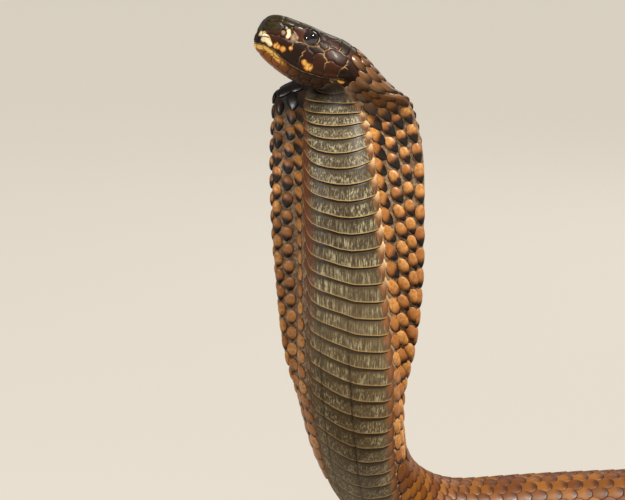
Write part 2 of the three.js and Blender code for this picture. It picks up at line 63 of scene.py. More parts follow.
# Raised part: centre, turn, half width and depths of the column, flap reach, setback, thickness, lift, sway
NECK = [
    (-7.8, 8.5, 328, 42, 20, 15, 23.5, 36, 4, 17, 0, -2.4),
    (-8, 9.5, 317, 24, 20, 16.5, 21, 47.5, 6, 10, 8, -2.2),
    (-8, 8, 306, 14, 20, 18.5, 17, 46.2, 7, 8, 10, 1.3),
    (-7.6, 5, 292, 8, 21.5, 21, 15, 48.8, 7, 7, 8, 3.6),
    (-7, 2, 276, 6, 23, 23.5, 15, 50.2, 7, 6.5, 5, 4.6),
    (-6, 0, 256, 5, 24, 25, 15, 50, 7, 6.5, 3, 4),
    (-5.5, 0, 235, 5, 25, 26, 15, 49.5, 7, 6.5, 1, 3.6),
    (-4.6, 1, 213, 5, 26, 27, 16, 48.2, 7, 7, 0, 3.2),
    (-3.6, 3, 191, 5, 27.5, 28, 17, 46.5, 7, 7.5, 0, 2.5),
    (-2.8, 7, 169, 6, 29.5, 29, 18, 44.5, 6, 8.5, 0, 1.5),
    (-1.6, 12, 147, 6, 31, 29, 20, 42.3, 5, 10, 0, 0.8),
    (0.4, 19, 126, 7, 31.5, 29, 22, 39, 4, 12.5, 0, 0),
    (3.2, 28, 105, 9, 31.5, 29, 24, 35, 2, 18, 0, 0),
    (7.5, 40, 84, 14, 29.5, 28, 26, 30, 0, 24, 0, 0),
    (15.5, 54, 64, 24, 28, 27, 27, 28, 0, 27, 0, 0),
    (28, 67, 46, 40, 27.5, 27, 27, 27.5, 0, 27, 0, 0),
    (48, 77, 32, 56, 27, 27, 27, 27, 0, 27, 0, 0),
]
SWAY_SHARE = np.array([0, 0, 0, 0.15, 0.6, 1, 1, 0.8, 0.6])

# Path on the ground and the body's radius along it
GROUND_START = (72.0, 84.0)
GROUND_HEADING = 15.0
GROUND_STEP = 28
BENDS = [(130, -8), (360, -187), (380, 10), (225, 182), (380, -8), (290, -180), (250, 16), (270, -40)]
RADIUS_AT = [0, 0.1, 0.35, 0.55, 0.7, 0.78, 0.84, 0.93, 0.98, 1]
RADIUS = [27.5, 28.5, 31, 30.5, 26, 20.5, 16.5, 10, 5.5, 2.4]
BELLY_SINK = 0.9


def unit(a):
    return a / np.linalg.norm(a, axis=-1, keepdims=True)


def span(a):
    """Length of each vector."""
    return np.linalg.norm(a, axis=-1)


def mix(a, b, t):
    return a + (b - a) * t


def step(x, low, high):
    t = np.clip((x - low) / (high - low), 0, 1)
    return t * t * (3 - 2 * t)


yaw, tilt = math.radians(HEAD_YAW), math.radians(HEAD_PITCH)
HEAD_FORWARD = np.array([-math.cos(tilt) * math.sin(yaw), -math.cos(tilt) * math.cos(yaw), math.sin(tilt)])
HEAD_UP = unit(np.array([0, 0, 1]) - HEAD_FORWARD * HEAD_FORWARD[2])
HEAD_LEFT = np.cross(HEAD_UP, HEAD_FORWARD)


def head_half(back, top, bottom, crown, cheek, jaw):
    """Half outline of the head at one ring, from the throat up to the crown."""
    h = top - bottom
    return np.array([
        (0, bottom), (0.55 * jaw, bottom), (jaw, bottom + 0.16 * h), (0.93 * cheek, bottom + 0.36 * h),
        (cheek, bottom + 0.52 * h), (mix(cheek, crown, 0.35), bottom + 0.74 * h),
        (crown, bottom + 0.94 * h), (0.5 * crown, top), (0, top)])


def body_half(col, ven, dor, flap, back, thick, lift, sway):
    """Half outline of the neck or body at one ring: round, or with the hood's flap."""
    hood = step(flap - col, 0, 14)
    reach = max(flap, col)
    turn = np.radians(22.5 * np.arange(9))
    depth = np.where(np.arange(9) < 4, ven, dor)
    round_one = np.stack([col * np.sin(turn), -depth * np.cos(turn)], -1) / 0.9746
    flat = np.array([
        (0, -ven), (0.5 * col, -0.99 * ven), (1.02 * col, -0.68 * ven), (1.06 * col, -0.05 * ven),
        (mix(col, reach, 0.5), back - 0.55 * thick), (reach, back - 0.55 * thick),
        (reach, back + 0.55 * thick), (0.9 * mix(col, reach, 0.3), mix(dor, back + 0.5 * thick, 0.25)),
        (0, dor)])
    out = mix(round_one, flat, hood)
    rise = lift * np.clip((out[:, 0] - col) / max(1.0, flap - col), 0, 1)
    return out, rise, sway * SWAY_SHARE


def ring(centre, along, up, half, rise, sway):
    """Sixteen control points: up one side from the belly line and down the other."""
    left = np.cross(up, along)
    back = slice(-2, 0, -1)
    across = np.concatenate([half[:, 0] + sway, (-half[:, 0] + sway)[back]])
    deep = np.concatenate([half[:, 1], half[back, 1]])
    shift = np.concatenate([rise, rise[back]])
    return centre + across[:, None] * left + deep[:, None] * up + shift[:, None] * along


def ground_path():
    x, y = GROUND_START
    heading = math.radians(GROUND_HEADING)
    out = [(x, y)]
    for length, turn in BENDS:
        n = round(length / 2)
        ds = length / n
        for k in range(n):
            f = (k + 0.5) / n
            gentle = 1 - math.cos(2 * math.pi * f)
            rate = gentle if abs(turn) < 40 else min(1, f / 0.2, (1 - f) / 0.2) / 0.8
            heading += math.radians(turn) / length * rate * ds
            x, y = x + ds * math.cos(heading), y + ds * math.sin(heading)
            out.append((x, y))
    return out


def control_rings():
    rings = []
    none = np.zeros(9)
    for r in HEAD:
        rings.append(ring(SNOUT - HEAD_FORWARD * r[0], HEAD_FORWARD, HEAD_UP, head_half(*r), none, none))
    length = sum(b[0] for b in BENDS)
    centres = [SNOUT - HEAD_FORWARD * HEAD[-1][0]] + [np.array(r[:3], float) for r in NECK]
    radii = []
    path = ground_path()
    for i in range(0, len(path), GROUND_STEP // 2):
        q = float(np.interp(2 * i / length, RADIUS_AT, RADIUS))
        radii.append(q)
        centres.append(np.array([path[i][0], path[i][1], q * BELLY_SINK]))
    for i in range(1, len(centres)):
        along = unit(centres[i - 1] - centres[min(i + 1, len(centres) - 1)])
        hint = np.array([0.0, 0.0, 1.0])
        if i <= len(NECK):
            r = NECK[i - 1]
            a = math.radians(r[3])
            hint = unit(np.array([math.sin(a), math.cos(a), 1.2 * max(0, (110 - r[2]) / 80)]))
            half = body_half(*r[4:])
        else:
            q = radii[i - 1 - len(NECK)]
            half = body_half(q, q, q, q, 0, q, 0, 0)
        up = unit(hint - along * (hint @ along))
        rings.append(ring(centres[i], along, up, *half))
    return np.array(rings), radii


NET, RADII = control_rings()
LAST = len(NET) - 1
GROUND_U = len(HEAD) + len(NECK)


def radius_at(u):
    """Radius of the body on the ground."""
    return np.interp(u, GROUND_U + np.arange(len(RADII)), RADII)


def spline(t):
    """Shares of the four control rings near a place, by the uniform cubic B-spline."""
    second = 3 * t ** 3 - 6 * t ** 2 + 4
    third = -3 * t ** 3 + 3 * t ** 2 + 3 * t + 1
    return np.stack([(1 - t) ** 3, second, third, t ** 3], -1) / 6


def skin(u, v):
    """Points of the smooth skin: u counts rings from the snout, v goes round from the belly line."""
    u, v = np.broadcast_arrays(np.clip(u, 0, LAST), v)
    iu, iv = np.floor(u).astype(int), np.floor(v).astype(int)
    bu, bv = spline(u - iu), spline(v - iv)
    out = np.zeros(u.shape + (3,))
    for a in range(4):
        row = np.clip(iu - 1 + a, 0, LAST)
        for b in range(4):
            out += (bu[..., a] * bv[..., b])[..., None] * NET[row, (iv - 1 + b) % 16]
    out -= FOOT
    out[..., 2] = np.maximum(out[..., 2], 0)
    return out


def outward(u, v):
    e = 0.03
    along = skin(u + e, v) - skin(u - e, v)
    around = skin(u, v + e) - skin(u, v - e)
    n = np.cross(along, around)
    return n / (np.linalg.norm(n, axis=-1, keepdims=True) + 1e-9)


def raised(u, v, height):
    p = skin(u, v) + outward(u, v) * np.asarray(height)[..., None]
    p[..., 2] = np.maximum(p[..., 2], 0.05)
    return p


def to_head(p):
    """Distance back, left and up from the snout, of points of the model."""
    q = p + FOOT - SNOUT
    return np.stack([-(q @ HEAD_FORWARD), q @ HEAD_LEFT, q @ HEAD_UP], -1)


def from_head(q):
    q = np.asarray(q, float)
    return SNOUT - FOOT - q[..., :1] * HEAD_FORWARD + q[..., 1:2] * HEAD_LEFT + q[..., 2:3] * HEAD_UP


# Rows of plates and scales. A row number grows along the body, one for each belly plate.
THROAT_U = 8.5
PITCH_U = [8.5, 9.6, 10.5, 11.8, 12.8, 13.3, 15.2, 17, 18.5, 20, 22, 28]
PITCH_AT = [7.2, 7.8, 8.4, 9.1, 10.0, 10.4, 10.4, 10.7, 12.2, 12.8, 12.4, 11.1]
ROW_PHASE = 0.97
NAPE_PITCH = 7.6
NAPE_U = 12.5
FULL_RADIUS = 28
SLANT_U = [12.5, 15.1, 17, 18.9]
SLANT_AT = [-8, -2.3, -1.8, -1.4, -1, -0.5, 0, 0.6, 1.2, 1.7, 2.2, 8]
SLANT = [
    [4, 18, 11, 5.3, 2.5, 0.8, 0, 0, 1.1, 3.2, 5, 4],
    [4, 18, 11.5, 6.5, 4.2, 2.3, 0, -1.3, -1.2, -0.8, -0.3, 4],
    [4, 20, 13, 8, 4.8, 2.3, 0, -3.4, -5, -6.4, -7.4, 4],
    [4, 24, 19, 13.5, 9.5, 4.2, 0, -3.6, -6, -8.5, -9.8, 4],
]

U_STEP = 0.05
V_STEP = 0.125
GRID_U = np.arange(0, LAST + 0.001, U_STEP)
GRID_V = np.arange(-8, 8.01, V_STEP)
GRID = skin(GRID_U[:, None], GRID_V[None, :] % 16)
ALONG = span(np.gradient(GRID, axis=0))
MIDDLE = len(GRID_V) // 2
PITCH = np.interp(GRID_U, PITCH_U, PITCH_AT) * np.clip(radius_at(GRID_U) / FULL_RADIUS, 0.16, 1.05)
SHARE = np.concatenate([[0], np.cumsum(span(np.diff(GRID.mean(1), axis=0)))])
SHARE /= SHARE[-1]


def share_at(u):
    """Share of the whole length of the animal that lies in front of u."""
    return np.interp(u, GRID_U, SHARE)


def row_numbers():
    """Row number at each place of the grid. Behind the head the rows of the back are closer together."""
    belly_rate = ALONG[:, MIDDLE] / PITCH
    rate = np.repeat(belly_rate[:, None], len(GRID_V), 1)
    own = ALONG / NAPE_PITCH
    behind = step(np.abs(GRID_V), 2.5, 4.0)[None, :] * (1 - step(GRID_U, NAPE_U - 2, NAPE_U))[:, None]
    rate = mix(rate, np.maximum(own, rate * 0.6), behind)
    rate[GRID_U < THROAT_U - 2] = 0.2
    total = np.cumsum(rate, axis=0)
    end = np.searchsorted(GRID_U, NAPE_U)
    total -= total[end]
    total -= np.interp(THROAT_U, GRID_U, total[:, MIDDLE]) - ROW_PHASE
    at_stations = [np.interp(GRID_V, SLANT_AT, s) for s in SLANT]
    forward = np.array([np.interp(GRID_U, SLANT_U, s) for s in np.transpose(at_stations)]).T
    fade = step(GRID_U, 9.5, 12.5) * (1 - step(GRID_U, 23, 29))
    total += forward * fade[:, None] / PITCH[:, None]
    return np.maximum.accumulate(total + 1e-6 * np.arange(len(GRID_U))[:, None], axis=0)


ROWS = row_numbers()


def row_line(v_line):
    """Row numbers down a line that runs along the body at given places round it."""
    x = np.clip((v_line + 8) / V_STEP, 0, len(GRID_V) - 1.001)
    k = x.astype(int)
    i = np.arange(len(GRID_U))
    return mix(ROWS[i, k], ROWS[i, k + 1], x - k)


# Half width of the belly plates round the body, on the animal's left and right
EDGE_U = [8, 10, 12, 13, 14, 15.2, 17, 18, 19, 20, 21, 22, 24, LAST]
EDGE_LEFT = [2.4, 2.4, 2.4, 2.42, 2.48, 2.58, 2.46, 2.42, 2.45, 2.45, 2.6, 2.75, 2.6, 2.6]
EDGE_RIGHT = [2.6, 2.6, 2.35, 2.15, 2.05, 1.85, 1.65, 1.6, 1.6, 1.75, 1.9, 2.0, 2.4, 2.6]
edge_left = np.interp(GRID_U, EDGE_U, EDGE_LEFT)
edge_right = np.interp(GRID_U, EDGE_U, EDGE_RIGHT)

# Columns of scales up each side of the hood. The first four, on its open front, run at these places round it
HOOD_COLUMNS = 9
HOOD_END_U = 22.3
OPEN_U = [10, 12, 13.4, 15, 16.5, 18, 19.5]
OPEN_LEFT = [[3.0, 2.95, 2.78, 3.12, 3.2, 2.98, 2.9], [3.7, 3.7, 3.65, 3.88, 3.96, 3.78, 3.65],
             [4.18, 4.2, 4.22, 4.35, 4.58, 4.6, 4.5], [4.72, 4.75, 4.88, 4.92, 5.1, 5.2, 5.2]]
OPEN_RIGHT = [[3.2, 3.22, 3.12, 2.9, 2.5, 2.05, 2.15], [3.85, 3.92, 4.0, 4.06, 3.98, 3.8, 4.0],
              [4.62, 4.65, 4.72, 4.84, 4.9, 4.95, 4.95], [5.5, 5.5, 5.5, 5.6, 5.7, 5.7, 5.7]]

# For each of them a place down the body where a scale lies, and the spacing of its scales at four places
SPACING_U = [10, 12.5, 15, 18]
SPACING_LEFT = [(15.0, [9.3, 9.8, 11.8, 12.0]), (14.96, [9.8, 10.6, 11.8, 12.0]),
                (14.84, [10.6, 11.2, 11.6, 12.2]), (14.56, [12.5, 12.8, 14.0, 13.0])]
SPACING_RIGHT = [(14.22, [11.0, 10.2, 10.3, 10.9]), (13.98, [11.0, 10.8, 10.9, 11.2]),
                 (13.76, [12.2, 11.0, 11.0, 11.4]), (14.0, [11.5, 11.5, 11.5, 11.5])]


def column_lines(count, hood):
    """Columns of scales along the body: side, number, place round it and row numbers, and their widths."""
    columns, widths = [], []
    for side, edge in ((1, edge_left), (-1, edge_right)):
        v = edge[:, None] + (8 - edge[:, None]) * np.linspace(0, 1, 81)[None, :]
        p = skin(GRID_U[:, None], (side * v) % 16)
        hops = span(np.diff(p, axis=1))
        arc = np.concatenate([np.zeros((len(v), 1)), np.cumsum(hops, axis=1)], 1)
        girth = arc[:, -1].copy()
        arc /= arc[:, -1:]
        even = (np.arange(1, count + 1) - 0.42) / (count + 0.58)
        share = np.repeat(even[None, :], len(v), 0)
        if hood:
            tables = OPEN_LEFT if side > 0 else OPEN_RIGHT
            places = np.stack([np.interp(GRID_U, OPEN_U, t) for t in tables], 1)
            front = np.array([np.interp(places[i], v[i], arc[i]) for i in range(len(v))])
            rest = mix(front[:, -1:], 1, np.arange(1, count - 3) / (count - 3))
            open_share = (step(GRID_U, 9, 11.0) * (1 - step(GRID_U, 19.2, 22)))[:, None]
            share = mix(share, np.concatenate([front, rest], 1), open_share)
        gaps = np.diff(np.concatenate([np.zeros((len(v), 1)), share, np.ones((len(v), 1))], 1), axis=1)
        for c in range(count):
            line = side * np.array([np.interp(share[i, c], arc[i], v[i]) for i in range(len(v))])
            columns.append((side, c + 1, line, row_line(line)))
            widths.append(0.5 * (gaps[:, max(c, 1)] + gaps[:, c + 1]) * girth)
            if hood and c < 4:
                anchor, spacing = (SPACING_LEFT if side > 0 else SPACING_RIGHT)[c]
                hops = span(np.gradient(skin(GRID_U, line % 16), axis=0))
                rows = np.cumsum(hops / np.interp(GRID_U, SPACING_U, spacing))
                columns[-1] = (side, c + 1, line, rows - np.interp(anchor, GRID_U, rows))
    top = np.full(len(GRID_U), 7.9999)
    columns.append((0, count + 1, top, row_line(top)))
    widths.append(gaps[:, -1] * girth)
    return columns, widths


# Making of pieces
def add_object(name, data):
    made = bpy.data.objects.new(name, data)
    bpy.context.scene.collection.objects.link(made)
    return made


def mesh_piece(name, points, faces, corner_uv, values, material):
    """Mesh from arrays: points, faces with like counts of corners, and values at each point."""
    me = bpy.data.meshes.new(name)
    me.vertices.add(len(points))
    me.vertices.foreach_set("co", (points * MM).astype(np.float32).ravel())
    corners = np.concatenate([f.ravel() for f in faces]).astype(np.int32)
    sizes = np.concatenate([np.full(len(f), f.shape[1]) for f in faces])
    me.loops.add(len(corners))
    me.loops.foreach_set("vertex_index", corners)
    me.polygons.add(len(sizes))
    me.polygons.foreach_set("loop_start", np.concatenate([[0], np.cumsum(sizes)[:-1]]).astype(np.int32))
    me.polygons.foreach_set("use_smooth", np.ones(len(sizes), bool))
    me.update(calc_edges=True)
    uv = me.uv_layers.new(name="OFBake")
    flat = np.concatenate([c.reshape(-1, 2) for c in corner_uv]).astype(np.float32)
    uv.data.foreach_set("uv", flat.ravel())
    for key, value in values.items():
        field = me.attributes.new(key, "FLOAT", "POINT")
        field.data.foreach_set("value", np.asarray(value, np.float32).ravel())
    me.materials.append(material)
    me.validate()
    obj = add_object(name, me)
    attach(obj, "root")
    return obj


def flat_place(share):
    """Place on the unwrap, a little inside its border."""
    return 0.01 + 0.98 * share


def grid_faces(rows, around):
    """Corners of a tube of rows of points, and each corner's place, which runs on past the seam."""
    i, j = np.meshgrid(np.arange(rows - 1), np.arange(around), indexing="ij")
    steps = ((0, 0), (0, 1), (1, 1), (1, 0))
    place = np.stack([np.stack([i + di, j + dj], -1) for di, dj in steps], -2).reshape(-1, 4, 2)
    return place[..., 0] * around + place[..., 1] % around, place


def tube_piece(name, u, around, height, values, material):
    """Closed tube of skin with points along u, evenly round it, and its two ends drawn together."""
    v = np.arange(around) * 16 / around
    uu, vv = np.meshgrid(u, v, indexing="ij")
    p = raised(uu, vv, height(uu, vv))
    n = len(u)
    corners, place = grid_faces(n, around)
    share = share_at(u)
    share = flat_place((share - share[0]) / (share[-1] - share[0]))
    uv = np.stack([share[place[..., 0]], flat_place(place[..., 1] / around)], -1)
    caps = np.array([p[0].mean(0), p[-1].mean(0)])
    points = np.concatenate([p.reshape(-1, 3), caps])
    j = np.arange(around)
    k = (j + 1) % around
    front = np.stack([k, j, np.full(around, n * around)], -1)
    rear = np.stack([(n - 1) * around + j, (n - 1) * around + k, np.full(around, n * around + 1)], -1)
    ends = [np.stack([np.full((around, 3), at), flat_place(np.stack(turn, -1) / around)], -1)
            for at, turn in ((share[0], (j + 1, j, j)), (share[-1], (j, j + 1, j)))]
    spread = {key: np.concatenate([np.asarray(val).ravel(), [val[0].mean(), val[-1].mean()]])
              for key, val in values(uu, vv).items()}
    return mesh_piece(name, points, [corners, front, rear], [uv] + ends, spread, material)


def scale_form(angles, rings, outline, profile, skirt):
    """One scale: rings of points from its middle out, with a sunk rim and a point below that closes it."""
    turn = np.arange(angles) * 2 * math.pi / angles
    a, b, h = [np.zeros(1)], [np.zeros(1)], [np.array([profile(0.0, 0.0)])]
    for r in rings:
        x, y = outline(turn)
        a.append(r * x)
        b.append(r * y)
        h.append(np.array([profile(r, q) for q in r * x]))
    a += [a[-1], np.zeros(1)]
    b += [b[-1], np.zeros(1)]
    h += [np.full(angles, -skirt), np.array([-skirt])]
    n = len(rings) + 1
    j = np.arange(angles)
    k = (j + 1) % angles
    top = np.stack([np.zeros(angles, int), 1 + j, 1 + k], -1)
    starts = 1 + angles * np.arange(n - 1)
    bands = [np.stack([i + j, i + angles + j, i + angles + k, i + k], -1) for i in starts]
    last = 1 + n * angles
    under = np.stack([1 + (n - 1) * angles + k, 1 + (n - 1) * angles + j, np.full(angles, last)], -1)
    return dict(a=np.concatenate(a), b=np.concatenate(b), h=np.concatenate(h),
                tri=np.concatenate([top, under]), quad=np.concatenate(bands))


# Width of each scale's patch on the unwrap
PATCH = 0.0028


def scales_piece(name, form, spots, lengths, material, chance):
    """Many scales joined as one mesh: the form laid over the skin at each spot, by its size and turn."""
    u, v, side, half_l, half_w, angle, high, lift = spots.T[:, :, None]
    form_a, form_b, form_h = form["a"], form["b"], form["h"]
    e = 0.05
    rate_u = span(skin(u + e, v) - skin(u - e, v)) / (2 * e)
    rate_v = span(skin(u, v + e) - skin(u, v - e)) / (2 * e)
    a, b, c, s = form_a * half_l, form_b * half_w, np.cos(angle), np.sin(angle)
    tilted = lift * (1 + form_a) * 0.5 * (form_h > -0.2)
    p = raised(u + (a * c - b * s) / rate_u, v + side * (a * s + b * c) / rate_v, form_h * high + tilted)
    m, n = p.shape[:2]
    faces = []
    for part in (form["tri"], form["quad"]):
        f = np.repeat(part[None], m, 0)
        f[side[:, 0] >= 0] = part[:, ::-1]
        faces.append((f + (np.arange(m) * n)[:, None, None]).reshape(-1, part.shape[1]))
    low, top = (share_at(x) for x in lengths)
    root_u = flat_place((share_at(u - half_l / rate_u) - low) / (top - low))
    root_v = flat_place((v % 16) / 16)
    flat = np.stack([root_u + PATCH * 0.5 * (1 + form_a), root_v + PATCH * 0.5 * form_b], -1).reshape(-1, 2)
    values = {
        "along": form_a, "across": form_b, "station": share_at(u), "tone": chance.uniform(-1, 1, (m, 1)),
        # shade: dark band below the throat, partly pigment and partly painted shadow of the head
        "lower": np.clip((u - 11) / 7, 0, 1), "shade": dark_band_and_painted_shadow(u, v), "nape": 1 - step(u, 9.8, 11.6),
    }
    values = {key: np.broadcast_to(x, (m, n)) for key, x in values.items()}
    return mesh_piece(name, p.reshape(-1, 3), faces, [flat[f] for f in faces], values, material)


def column_spots(columns, widths, from_u, to_u, offsets, sizes):
    """Spots of scales along columns, set like bricks."""
    out = []
    for (side, c, line, rows), width in zip(columns, widths):
        inside = (GRID_U >= from_u(side, c, line)) & (GRID_U <= to_u)
        first, last = rows[inside][0], rows[inside][-1]
        shift = offsets(side, c)
        k = np.arange(math.ceil(first - shift), math.floor(last - shift) + 1) + shift
        u = np.interp(k, rows, GRID_U)
        v = np.interp(u, GRID_U, line)
        nearest = np.clip(((line + 8) / V_STEP).astype(int), 0, len(GRID_V) - 1)
        per_u = ALONG[np.arange(len(GRID_U)), nearest] / U_STEP
        long = np.interp(k + 0.5, rows, GRID_U) - np.interp(k - 0.5, rows, GRID_U)
        long *= np.interp(u, GRID_U, per_u)
        wide = np.interp(u, GRID_U, width)
        out.append(np.stack([u, v, np.full(len(u), side if side else 1)] + sizes(side, c, u, long, wide), -1))
    return np.concatenate(out)


# Paints
class Paint:
    """A material or a node group under construction."""

    def __init__(self, tree):
        self.nodes, self.links = tree.nodes, tree.links

    def put(self, value, target):
        if isinstance(value, bpy.types.NodeSocket):
            self.links.new(value, target)
        else:
            target.default_value = value

    def node(self, kind, given, **settings):
        """Sockets that a new node puts out, after its settings and then what its sockets are given."""
        n = self.nodes.new("ShaderNode" + kind)
        for key, x in settings.items():
            setattr(n, key, x)
        for key, x in given.items():
            self.put(x, n.inputs[key])
        return n.outputs

    def value(self, name):
        return self.node("Attribute", {}, attribute_name=name)["Fac"]

    def where(self):
        return self.node("TexCoord", {})["Object"]

    def math(self, kind, a, b=0.0):
        return self.node("Math", {0: a, 1: b}, operation=kind)[0]

    def plus(self, a, b):
        return self.math("ADD", a, b)

    def minus(self, a, b):
        return self.math("SUBTRACT", a, b)

    def times(self, a, b):
        return self.math("MULTIPLY", a, b)

    def sway(self, mask, amount):
        """A mask turned into a shift to both sides of nothing."""
        return self.times(self.minus(mask, 0.5), amount)

    def band(self, x, low, high, start=0.0, end=1.0):
        given = dict(enumerate((x, low, high, start, end)))
        return self.node("MapRange", given, interpolation_type="SMOOTHSTEP")[0]

    def noise(self, size, detail=3.0, rough=0.55, where=None, stretch=None):
        place = where or self.where()
        if stretch:
            place = self.node("Mapping", {"Vector": place, "Scale": stretch})[0]
        given = {"Vector": place, "Scale": 1000.0 / size, "Detail": detail, "Roughness": rough}
        return self.node("TexNoise", given)["Fac"]

    def mix(self, factor, a, b):
        a, b = ((*x, 1) if isinstance(x, tuple) else x for x in (a, b))
        return self.node("Mix", {0: factor, 6: a, 7: b}, data_type="RGBA", clamp_factor=True)[2]

    def between(self, mask, low, high, a, b):
        return self.mix(self.band(mask, low, high), a, b)

    def over(self, colour, *layers):
        """A colour with others laid over it, each given with its mask."""
        for mask, top in layers:
            colour = self.mix(mask, colour, top)
        return colour

    def group(self, tree, **given):
        return self.node("Group", given, node_tree=tree)

    def bump(self, height, strength, depth):
        return self.node("Bump", {"Strength": strength, "Distance": depth * MM, "Height": height})[0]

    def finish(self, colour, rough, normal, coat=0.0, coat_rough=0.2, shine=0.5):
        shader = self.nodes["Principled BSDF"]
        keys = ("Base Color", "Roughness", "Normal", "Specular IOR Level", "Coat Weight", "Coat Roughness")
        for key, value in zip(keys, (colour, rough, normal, shine, coat, coat_rough)):
            self.put(value, shader.inputs[key])
        return self.material


def tone(r, g, b):
    """Linear colour from the usual 0 to 255 values."""
    return tuple(((x / 255 + 0.055) / 1.055) ** 2.4 if x > 10 else x / 255 / 12.92 for x in (r, g, b))


def new_paint(name):
    material = bpy.data.materials.new(name)
    material.use_nodes = True
    paint = Paint(material.node_tree)
    paint.material = material
    return paint


def new_group(name, given, made):
    """An empty node group: its tree, its paint, the socket it is given and the sockets it puts out."""
    tree = bpy.data.node_groups.new(name, "ShaderNodeTree")
    tree.interface.new_socket(given, in_out="INPUT", socket_type="NodeSocketFloat")
    for key in made:
        tree.interface.new_socket(key, in_out="OUTPUT", socket_type="NodeSocketFloat")
    paint = Paint(tree)
    start, end = paint.nodes.new("NodeGroupInput"), paint.nodes.new("NodeGroupOutput")
    return tree, paint, start.outputs[0], end.inputs


def grain_group():
    """Fine creases of horn and skin: a mask for colour and a height."""
    tree, paint, size, out = new_group("fine_grain", "Size", ("Mottle", "Height"))
    scaled = paint.node("VectorMath", {0: paint.where(), "Scale": size}, operation="SCALE")[0]
    coarse = paint.noise(2.4, 4, 0.6, scaled)
    fine = paint.noise(0.5, 3, 0.5, scaled)
    paint.links.new(coarse, out[0])
    paint.links.new(paint.plus(paint.times(coarse, 0.5), fine), out[1])
    return tree


# Bands along the tail: how many radians of wave the whole animal has, and how far they waver
BAND_WAVE = 240.0
BAND_WAVER = 0.004


def marking_group():
    """Markings along the body: how dark it is, from gold in front to dusk on the tail, and pale bands."""
    tree, paint, station, out = new_group("body_marking", "Station", ("Dusk", "Band"))
    blur = paint.noise(60, 2, 0.5)
    paint.links.new(paint.band(paint.plus(station, paint.sway(blur, 0.10)), 0.22, 0.85), out[0])
    wave = paint.math("SINE", paint.times(paint.plus(station, paint.times(blur, BAND_WAVER)), BAND_WAVE))
    paint.links.new(paint.times(paint.band(wave, 0.72, 0.95), paint.band(station, 0.30, 0.5)), out[1])
    return tree


GRAIN = grain_group()
MARKING = marking_group()


def skin_paint():
    paint = new_paint("skin_between_scales")
    mottle, height = paint.group(GRAIN, Size=1.0)
    dusk = paint.group(MARKING, Station=paint.value("station"))["Dusk"]
    colour = paint.over(
        paint.mix(dusk, tone(96, 52, 18), tone(46, 33, 20)),
        (paint.value("hood"), paint.between(mottle, 0.38, 0.72, tone(100, 70, 46), tone(164, 142, 110))),
        # dark band below the throat: partly pigment, partly painted shadow of the head
        (paint.value("shade"), tone(22, 12, 6)))
    return paint.finish(colour, 0.62, paint.bump(height, 0.6, 0.3))


def hood_scale_paint():
    paint = new_paint("hood_scale_horn")
    mottle, height = paint.group(GRAIN, Size=1.0)
    along, random, nape = paint.value("along"), paint.value("tone"), paint.value("nape")
    place = paint.plus(paint.plus(along, paint.sway(mottle, 0.7)), paint.times(random, 0.2))
    place = paint.minus(place, paint.times(paint.value("lower"), 0.75))
    colour = paint.over(
        paint.between(mottle, 0.3, 0.7, tone(166, 106, 48), tone(212, 154, 86)),
        (paint.band(random, -0.8, 1.0, 0.0, 0.7), tone(142, 82, 34)),
        # rear half of each scale painted darker: partly its own dark tip, partly painted shade where the
        # domed scale turns from the light; less so lower on the hood
        (paint.band(place, -0.6, 0.0), tone(100, 54, 20)),
        (paint.band(place, -0.24, 0.12), tone(22, 14, 8)),
        (paint.times(nape, 0.9), paint.between(along, -0.1, 0.9, tone(104, 70, 40), tone(36, 23, 13))),
        # dark band below the throat: partly pigment, partly painted shadow of the head
        (paint.value("shade"), tone(20, 11, 6)))
    rough = paint.band(nape, 0.0, 1.0, 0.42, 0.26)
    return paint.finish(colour, rough, paint.bump(height, 0.35, 0.14), 0.05, 0.2, 0.4)


def body_scale_paint():
    paint = new_paint("body_scale_horn")
    mottle, height = paint.group(GRAIN, Size=1.0)
    dusk, band = paint.group(MARKING, Station=paint.value("station"))
    random = paint.value("tone")
    place = paint.plus(paint.value("along"), paint.sway(mottle, 0.7))
    gold = paint.between(random, -1, 1, tone(104, 56, 14), tone(140, 86, 26))
    brown = paint.between(random, -1, 1, tone(70, 50, 30), tone(94, 68, 40))
    colour = paint.over(
        paint.mix(dusk, gold, brown),
        (paint.band(place, 0.1, 0.95), paint.mix(dusk, tone(62, 28, 6), tone(30, 22, 15))),
        (paint.times(band, 0.75), tone(158, 122, 70)))
    rough = paint.band(mottle, 0.2, 0.8, 0.34, 0.5)
    return paint.finish(colour, rough, paint.bump(height, 0.3, 0.12), 0.05, 0.25, 0.3)


